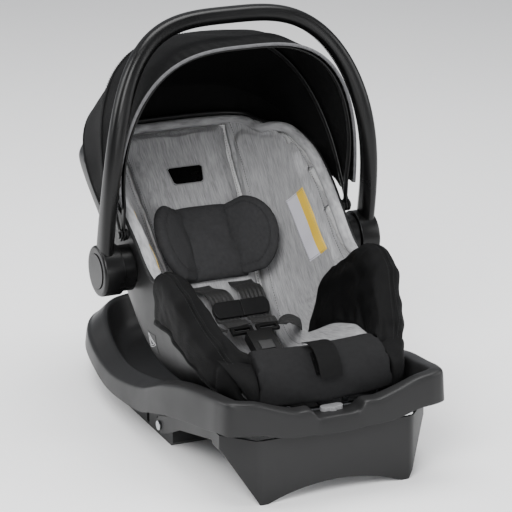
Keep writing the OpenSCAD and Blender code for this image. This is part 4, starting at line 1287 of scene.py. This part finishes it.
def make_canopy():
    rear, rear_face = panel("canopy_rear_cloth", REAR_EDGE, MID_BOW - 0.4, 31, 0.0)
    front, front_face = panel("canopy_front_cloth", MID_BOW + 0.4, FRONT_BOW + 2, 37, 1.5)
    sizes = []
    for face in (rear_face, front_face):
        wide = np.linalg.norm(np.diff(face, axis=1), axis=2).sum(1).max() * MM
        long = np.linalg.norm(np.diff(face, axis=0), axis=2).sum(0).max() * MM
        sizes.append((float(wide) * 1.02, float(long) * 1.02, float(cloth_area(face)) * 1.02))
    hoop = canopy_arc(FRONT_BOW + 2.3, -0.4, 360, CANOPY_HALF)
    piping = dress(tube("canopy_piping", hoop, 2.3, 12), "piping")
    spread = (-1.6, -0.8, 0, 0.8, 1.6)
    strip = [canopy_arc(MID_BOW + d, -1.1 - 0.6 * (1 - abs(d) / 1.6), 240, CANOPY_HALF) for d in spread]
    base = [canopy_arc(MID_BOW + d, 0.2, 240, CANOPY_HALF - 1) for d in spread]
    casing = dress(slab("mid_bow_casing", np.array(strip), np.array(base), 50), "canopy")
    rear_hoop = canopy_arc(REAR_EDGE, 0.5, 240, CANOPY_HALF - 1)
    rear_hem = dress(tube("canopy_rear_hem", rear_hoop, 2.2, 10), "canopy")
    side_u = np.linspace(4.4, 1.2, 60)
    rim = np.concatenate([bucket(side_u, -90, -3.5), [bucket(1.2, x, -3.5) for x in np.linspace(-88, 88, 80)],
                          bucket(side_u[::-1], 90, -3.5)])
    low = evenly(rim, 200) - [0, 0, 9]
    high = canopy_arc(REAR_EDGE, 1.0, 200, CANOPY_HALF - 1)
    share = np.linspace(0, 1, 24)[:, None, None]
    drop = mix(high[None], low[None], share)
    outer = unit(drop - [0, CANOPY_Y, CANOPY_Z - 60])
    drop = drop + outer * (ripple(drop, 60, 44) * 1.2 * np.sin(math.pi * share[..., 0]))[..., None]
    skirt = dress(slab("canopy_rear_skirt", drop, drop - outer * 1.6, 50), "canopy")
    wide = float(np.linalg.norm(np.diff(drop, axis=1), axis=2).sum(1).max()) * MM * 1.02
    long = float(np.linalg.norm(np.diff(drop, axis=0), axis=2).sum(0).max()) * MM * 1.02
    float(cloth_area(drop)) * 1.02
    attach(skirt, "carrier")
    stitches = [canopy_arc(MID_BOW + d, -1.9, 240, CANOPY_HALF) for d in (1.2, -1.2)]
    for obj, size in ((rear, sizes[0]), (front, sizes[1])):
        dress(obj, "canopy")
    return rear, front, piping, casing, rear_hem, stitches


def make_bow(name, angle, eye_x):
    arc = canopy_arc(angle, CLOTH_T + BOW_T / 2 + 1.5, 260, eye_x + 1.5, 0.5)
    t = unit(np.gradient(arc, axis=0))
    a = math.radians(angle)
    across = np.broadcast_to([0, -math.sin(a), math.cos(a)], t.shape)
    n = np.cross(t, across)
    k = np.linspace(0, 2 * math.pi, 20, endpoint=False)
    ring_n, ring_a = (np.sign(f) * np.abs(f) ** 0.6 for f in (np.cos(k), np.sin(k)))
    points = arc[:, None] + n[:, None] * (ring_n * BOW_T / 2)[None, :, None]
    points = points + across[:, None] * (ring_a * BOW_W / 2)[None, :, None]
    ends = [tuple(range(20))[::-1], tuple(259 * 20 + j for j in range(20))]
    faces = grid_faces(260, 20, wrap_cols=True) + ends
    parts = [build(name, points, faces, sharp=60)]
    for side in (1, -1):
        eye = ((eye_x, 3.3), (eye_x, 9), (eye_x + 3, 9), (eye_x + 3, 3.3))
        ring = round_corners([np.array(p, float) for p in eye], [0, 0.8, 0.8, 0])
        parts.append(lathe_x(name + "_eye", ring, CANOPY_Y, CANOPY_Z, side, 48))
    return dress(join(name, parts), "black_plastic")


# ---- things laid on a swollen surface ----
def surface_of(obj):
    return BVHTree.FromObject(obj, bpy.context.evaluated_depsgraph_get())


def lay_on(tree, points, towards, lift=0.4, reach=40.0):
    """Moves each point along the line to `towards` until it lies on the surface, lift mm above it."""
    flat = place(np.asarray(points, float).reshape(-1, 3))
    eye = place(towards)
    out = []
    for p in flat:
        way = Vector(unit(eye - p))
        hit = tree.ray_cast(Vector(p) + way * reach * MM, -way, 3 * reach * MM)
        out.append(hit[0] + hit[1] * lift * MM * (1 if hit[1].dot(way) > 0 else -1) if hit[0] else Vector(p))
    return unplace(np.array(out)).reshape(np.shape(points))


def make_patch(tree):
    """The right two-tone patch, about 30 by 96 mm, lying on the side cushion."""
    n, m = 60, 24
    v = np.linspace(0, 1, n)[:, None]
    h = np.linspace(0, 1, m)[None, :]
    u = mix(mix(4.45, 4.60, h), mix(6.41, 6.78, h), v)
    k = mix(mix(0.56, 0.81, h), mix(0.64, 0.85, h), v)
    face = lay_on(tree, side_face(u, k), (30, 0, 330), 0.35)
    normal = grid_normals(face, SIT_POINT)
    v = np.linspace(-1, 1, n)[:, None]
    h = np.linspace(-1, 1, m)[None, :]
    dome = 0.9 * (1 - np.maximum(np.abs(v), np.abs(h)) ** 16)
    right = slab("patch_cloth_right", face + normal * dome[..., None], face - normal * 0.3, 70)
    store_flat(right.data, np.concatenate([runs(face).reshape(-1, 2)] * 2))
    left = mirror_copy(right, "patch_cloth_left")
    ring = np.concatenate([face[1, 1:-1], face[1:-1, -2], face[-2, -2:0:-1], face[-2:0:-1, 1]]) + 0
    ring = ring + unit(np.array(SIT_POINT) - ring) * 1.0
    for obj in (left, right):
        dress(obj, "patch")
    return left, right, ring


def make_sticker():
    """Level label: fine raised lines in an inverted triangle on a plain film, on both sides."""
    parts = []
    for side in (1, -1):
        u = np.linspace(7.9, 8.5, 20)[:, None]
        a = np.linspace(60, 72, 20)[None, :] * side
        film = slab("level_label", bucket(u, a, -0.45), bucket(u, a, -0.1))
        parts.append(dress(film, "shell"))
        corners = [(7.94, 62), (7.94, 71), (8.46, 66.5), (7.94, 62)]
        for share in (0.0, 0.42):
            line = []
            for (u0, a0), (u1, a1) in zip(corners, corners[1:]):
                for t in np.linspace(0, 1, 24, endpoint=False):
                    uu, aa = mix(u0, u1, t), mix(a0, a1, t)
                    line.append(bucket(mix(uu, 8.12, share), mix(aa, 66.5, share) * side, -0.55))
            parts.append(dress(tube("level_line", np.array(line), 0.5, 6, closed=True), "film"))
    return join("level_label", parts)


def mirrored(lines):
    return [np.asarray(line) * [-1, 1, 1] for line in lines]


# ---- make everything ----
soften("base_underbody", "base", 1.2)
soften("base_screws", "steel", 0.5)
soften("recline_foot", "base", 2.2, 36, 4)
soften("foot_pins", "steel", 0.6)
soften("release_button", "button_grey", 1.5, 40, 4)
soften("latch_slider", "steel", 0.4)
soften("latch_spring", "steel", 0.4)
soften("foam_liner", "foam", 0.8, 40)
soften("badge", "badge", 0.9, 40)
for side in ("left", "right"):
    soften("chest_clip_" + side, "black_plastic", 1.8, 40, 4)
    soften("tongue_" + side, "black_plastic", 0.6)
    soften("hub_base_" + side, "black_plastic", 0.8, 40)
    soften("hub_pin_" + side, "steel", 0.5, 40)
    soften("hub_spring_" + side, "steel", 0.4, 40)
    soften("hub_button_" + side, "black_plastic", 1.6, 40, 4)
    soften("canopy_mount_" + side, "black_plastic", 0.6, 40)
soften("buckle_body", "black_plastic", 2.0, 40, 4)
soften("buckle_button", "buckle_grey", 1.0)
soften("adjuster_housing", "black_plastic", 1.0)
soften("adjuster_lever", "steel", 0.5)
soften("splitter_plate", "steel", 0.5)
soften("latch_bar_front", "steel", 0.5, 40)
soften("latch_bar_rear", "steel", 0.5, 40)

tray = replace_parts(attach(make_base_tray(), "base"), "base_tray")
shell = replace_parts(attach(make_shell(), "carrier"), "carrier_shell")
seat, side_left, side_right = make_pads()
for pad, node_name in ((seat, "seat_pad"), (side_left, "side_pad_left"), (side_right, "side_pad_right")):
    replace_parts(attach(pad, "carrier"), node_name)
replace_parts(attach(make_front_cushion(), "carrier"), "front_cushion")
pillow_centre, pillow_left, pillow_right, pillow_arc = make_pillow()
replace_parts(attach(pillow_centre, "carrier"), "head_support_back")
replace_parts(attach(pillow_left, "carrier"), "head_support_left")
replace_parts(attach(pillow_right, "carrier"), "head_support_right")
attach(make_binding(), "carrier")
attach(make_corners(), "carrier")
side_tree = surface_of(side_right)
wing_left, wing_right, wing_seams = make_wings(side_tree)
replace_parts(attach(wing_left, "carrier"), "wing_cover_left")
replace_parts(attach(wing_right, "carrier"), "wing_cover_right")
seat_tree = surface_of(seat)
patch_left, patch_right, patch_ring = make_patch(side_tree)
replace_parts(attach(patch_left, "carrier"), "patch_left")
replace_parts(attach(patch_right, "carrier"), "patch_right")
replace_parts(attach(make_sticker(), "carrier"), "level_sticker")

strap_nodes = {
    "shoulder_webbing_left": "shoulder_strap_left", "shoulder_webbing_right": "shoulder_strap_right",
    "lap_webbing_left": "lap_strap_left", "lap_webbing_right": "lap_strap_right",
    "crotch_webbing": "crotch_strap", "adjuster_flap_cloth": "adjuster_flap",
}
for strap in make_harness():
    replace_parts(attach(strap, "carrier"), strap_nodes[strap.name])

BADGE_EDGE = [(-25, 289.6), (0, 289.8), (25, 289.6), (28.4, 286), (24.6, 264), (20, 260.6), (-20, 260.6),
              (-24.6, 264), (-28.4, 286)]
badge_edge = [on_back(x, up, 7.7) for x, up in BADGE_EDGE]
badge_rim = tube("badge_rim", evenly(np.array(badge_edge + badge_edge[:1]), 120)[:-1], 0.9, 8, closed=True)
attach(dress(badge_rim, "button_grey"), "carrier")

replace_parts(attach(make_handle(), "handle"), "handle_bow")
rear_cloth, front_cloth, piping, casing, rear_hem, casing_seams = make_canopy()


def canopy_spot(angle):
    t = math.radians(angle)
    r = 300.0
    return place((0, CANOPY_Y + r * math.cos(t), CANOPY_Z + r * math.sin(t)))


canopy_spot(30)
canopy_spot(52)
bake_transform(rear_cloth)
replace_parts(rear_cloth, "canopy_rear_panel")
canopy_spot(62)
canopy_spot(92)
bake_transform(front_cloth)
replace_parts(front_cloth, "canopy_front_panel")
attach(piping, "canopy_front")
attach(casing, "canopy_mid")
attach(rear_hem, "carrier")
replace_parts(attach(make_bow("front_bow_strip", FRONT_BOW, MOUNT_X + 1.5), "canopy_front"), "front_bow")
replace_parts(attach(make_bow("mid_bow_strip", MID_BOW, MOUNT_X + 6), "canopy_mid"), "mid_bow")

# seams, one mesh of stitches for each body
seat_u = np.linspace(1.2, 11.6, 120)
c = along(CUSHION, seat_u)
seam_line = np.stack([c[:, 0] - 5.5, c[:, 1], c[:, 2]], -1)
seam_line = lay_on(seat_tree, seam_line, SIT_POINT, 0.3)
side_line = lay_on(side_tree, side_face(np.linspace(1.2, 11.0, 120), 0.10), SIT_POINT, 0.3)
rim_line = lay_on(side_tree, side_face(np.linspace(1.1, 8.3, 120), 0.93), (0, 60, 420), 0.3)
carrier_seams = [seam_line, side_line, rim_line, *wing_seams, *pillow_arc]
carrier_seams += mirrored(carrier_seams)
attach(sew("cover_stitches", carrier_seams), "carrier")
patch_seams = [patch_ring, *mirrored([patch_ring])]
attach(sew("patch_stitches", patch_seams, "pale_thread", pitch=0.0032, length=0.0022), "carrier")
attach(sew("casing_stitches", casing_seams), "canopy_mid")
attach(sew("hem_stitches", [canopy_arc(FRONT_BOW + 1.0, -0.3, 300, CANOPY_HALF - 0.5)]), "canopy_front")

# ---- floor, light, camera ----
def area_light(name, spot, aim, size, power, colour=(1, 1, 1)):
    lamp = bpy.data.lights.new(name, "AREA")
    lamp.shape, lamp.size, lamp.size_y, lamp.energy, lamp.color = "RECTANGLE", size[0], size[1], power, colour
    obj = bpy.data.objects.new(name, lamp)
    bpy.context.collection.objects.link(obj)
    obj.location = spot
    obj.rotation_euler = (Vector(aim) - Vector(spot)).to_track_quat("-Z", "Y").to_euler()
    return obj


floor_mesh = bpy.data.meshes.new("studio_floor")
floor_mesh.from_pydata([(-20, -20, 0), (20, -20, 0), (20, 20, 0), (-20, 20, 0)], [], [(0, 1, 2, 3)])
floor = bpy.data.objects.new("studio_floor", floor_mesh)
bpy.context.collection.objects.link(floor)
paper, paper_tree, paper_shader = new_material("studio_paper")
fibre_size = {"Vector": object_place(paper_tree), "Scale": 40.0, "Detail": 4.0}
fibre = put(paper_tree, "ShaderNodeTexNoise", fibre_size)
paper_shade = blend_colour(paper_tree, fibre.outputs["Fac"], grey(0.90), grey(0.92))
paper_tree.links.new(paper_shade, paper_shader.inputs["Base Color"])
paper_shader.inputs["Roughness"].default_value = 0.9
floor.data.materials.append(paper)
aim = (0, 0, 0.25)
lights = [
    area_light("key", (-1.5, -1.9, 2.3), aim, (1.6, 1.6), 105),
    area_light("fill", (2.4, -1.5, 1.3), aim, (1.8, 1.8), 50),
    area_light("top", (0.1, 0.3, 2.6), aim, (2.4, 1.4), 85),
    area_light("rim_left", (-2.2, 1.6, 1.5), aim, (1.2, 1.6), 40),
    area_light("front_low", (-0.3, -3.0, 0.9), aim, (2.0, 1.0), 26),
]
world = bpy.data.worlds.new("studio")
bpy.context.scene.world = world
world.use_nodes = True
sky = next(n for n in world.node_tree.nodes if n.type == "BACKGROUND")
sky.inputs["Color"].default_value = (0.93, 0.95, 1.0, 1)
sky.inputs["Strength"].default_value = 0.42

A, E, FAR = math.radians(24.0), math.radians(18.6), 3.7
target = Vector((0, -0.048, 0.258))
back = Vector((-math.sin(A) * math.cos(E), -math.cos(A) * math.cos(E), math.sin(E)))
lens = bpy.data.cameras.new("camera")
lens.lens = 182.8
lens.sensor_width = 36
camera = bpy.data.objects.new("camera", lens)
bpy.context.collection.objects.link(camera)
camera.location = target + back * FAR
camera.rotation_euler = (-back).to_track_quat("-Z", "Y").to_euler()
bpy.context.scene.camera = camera
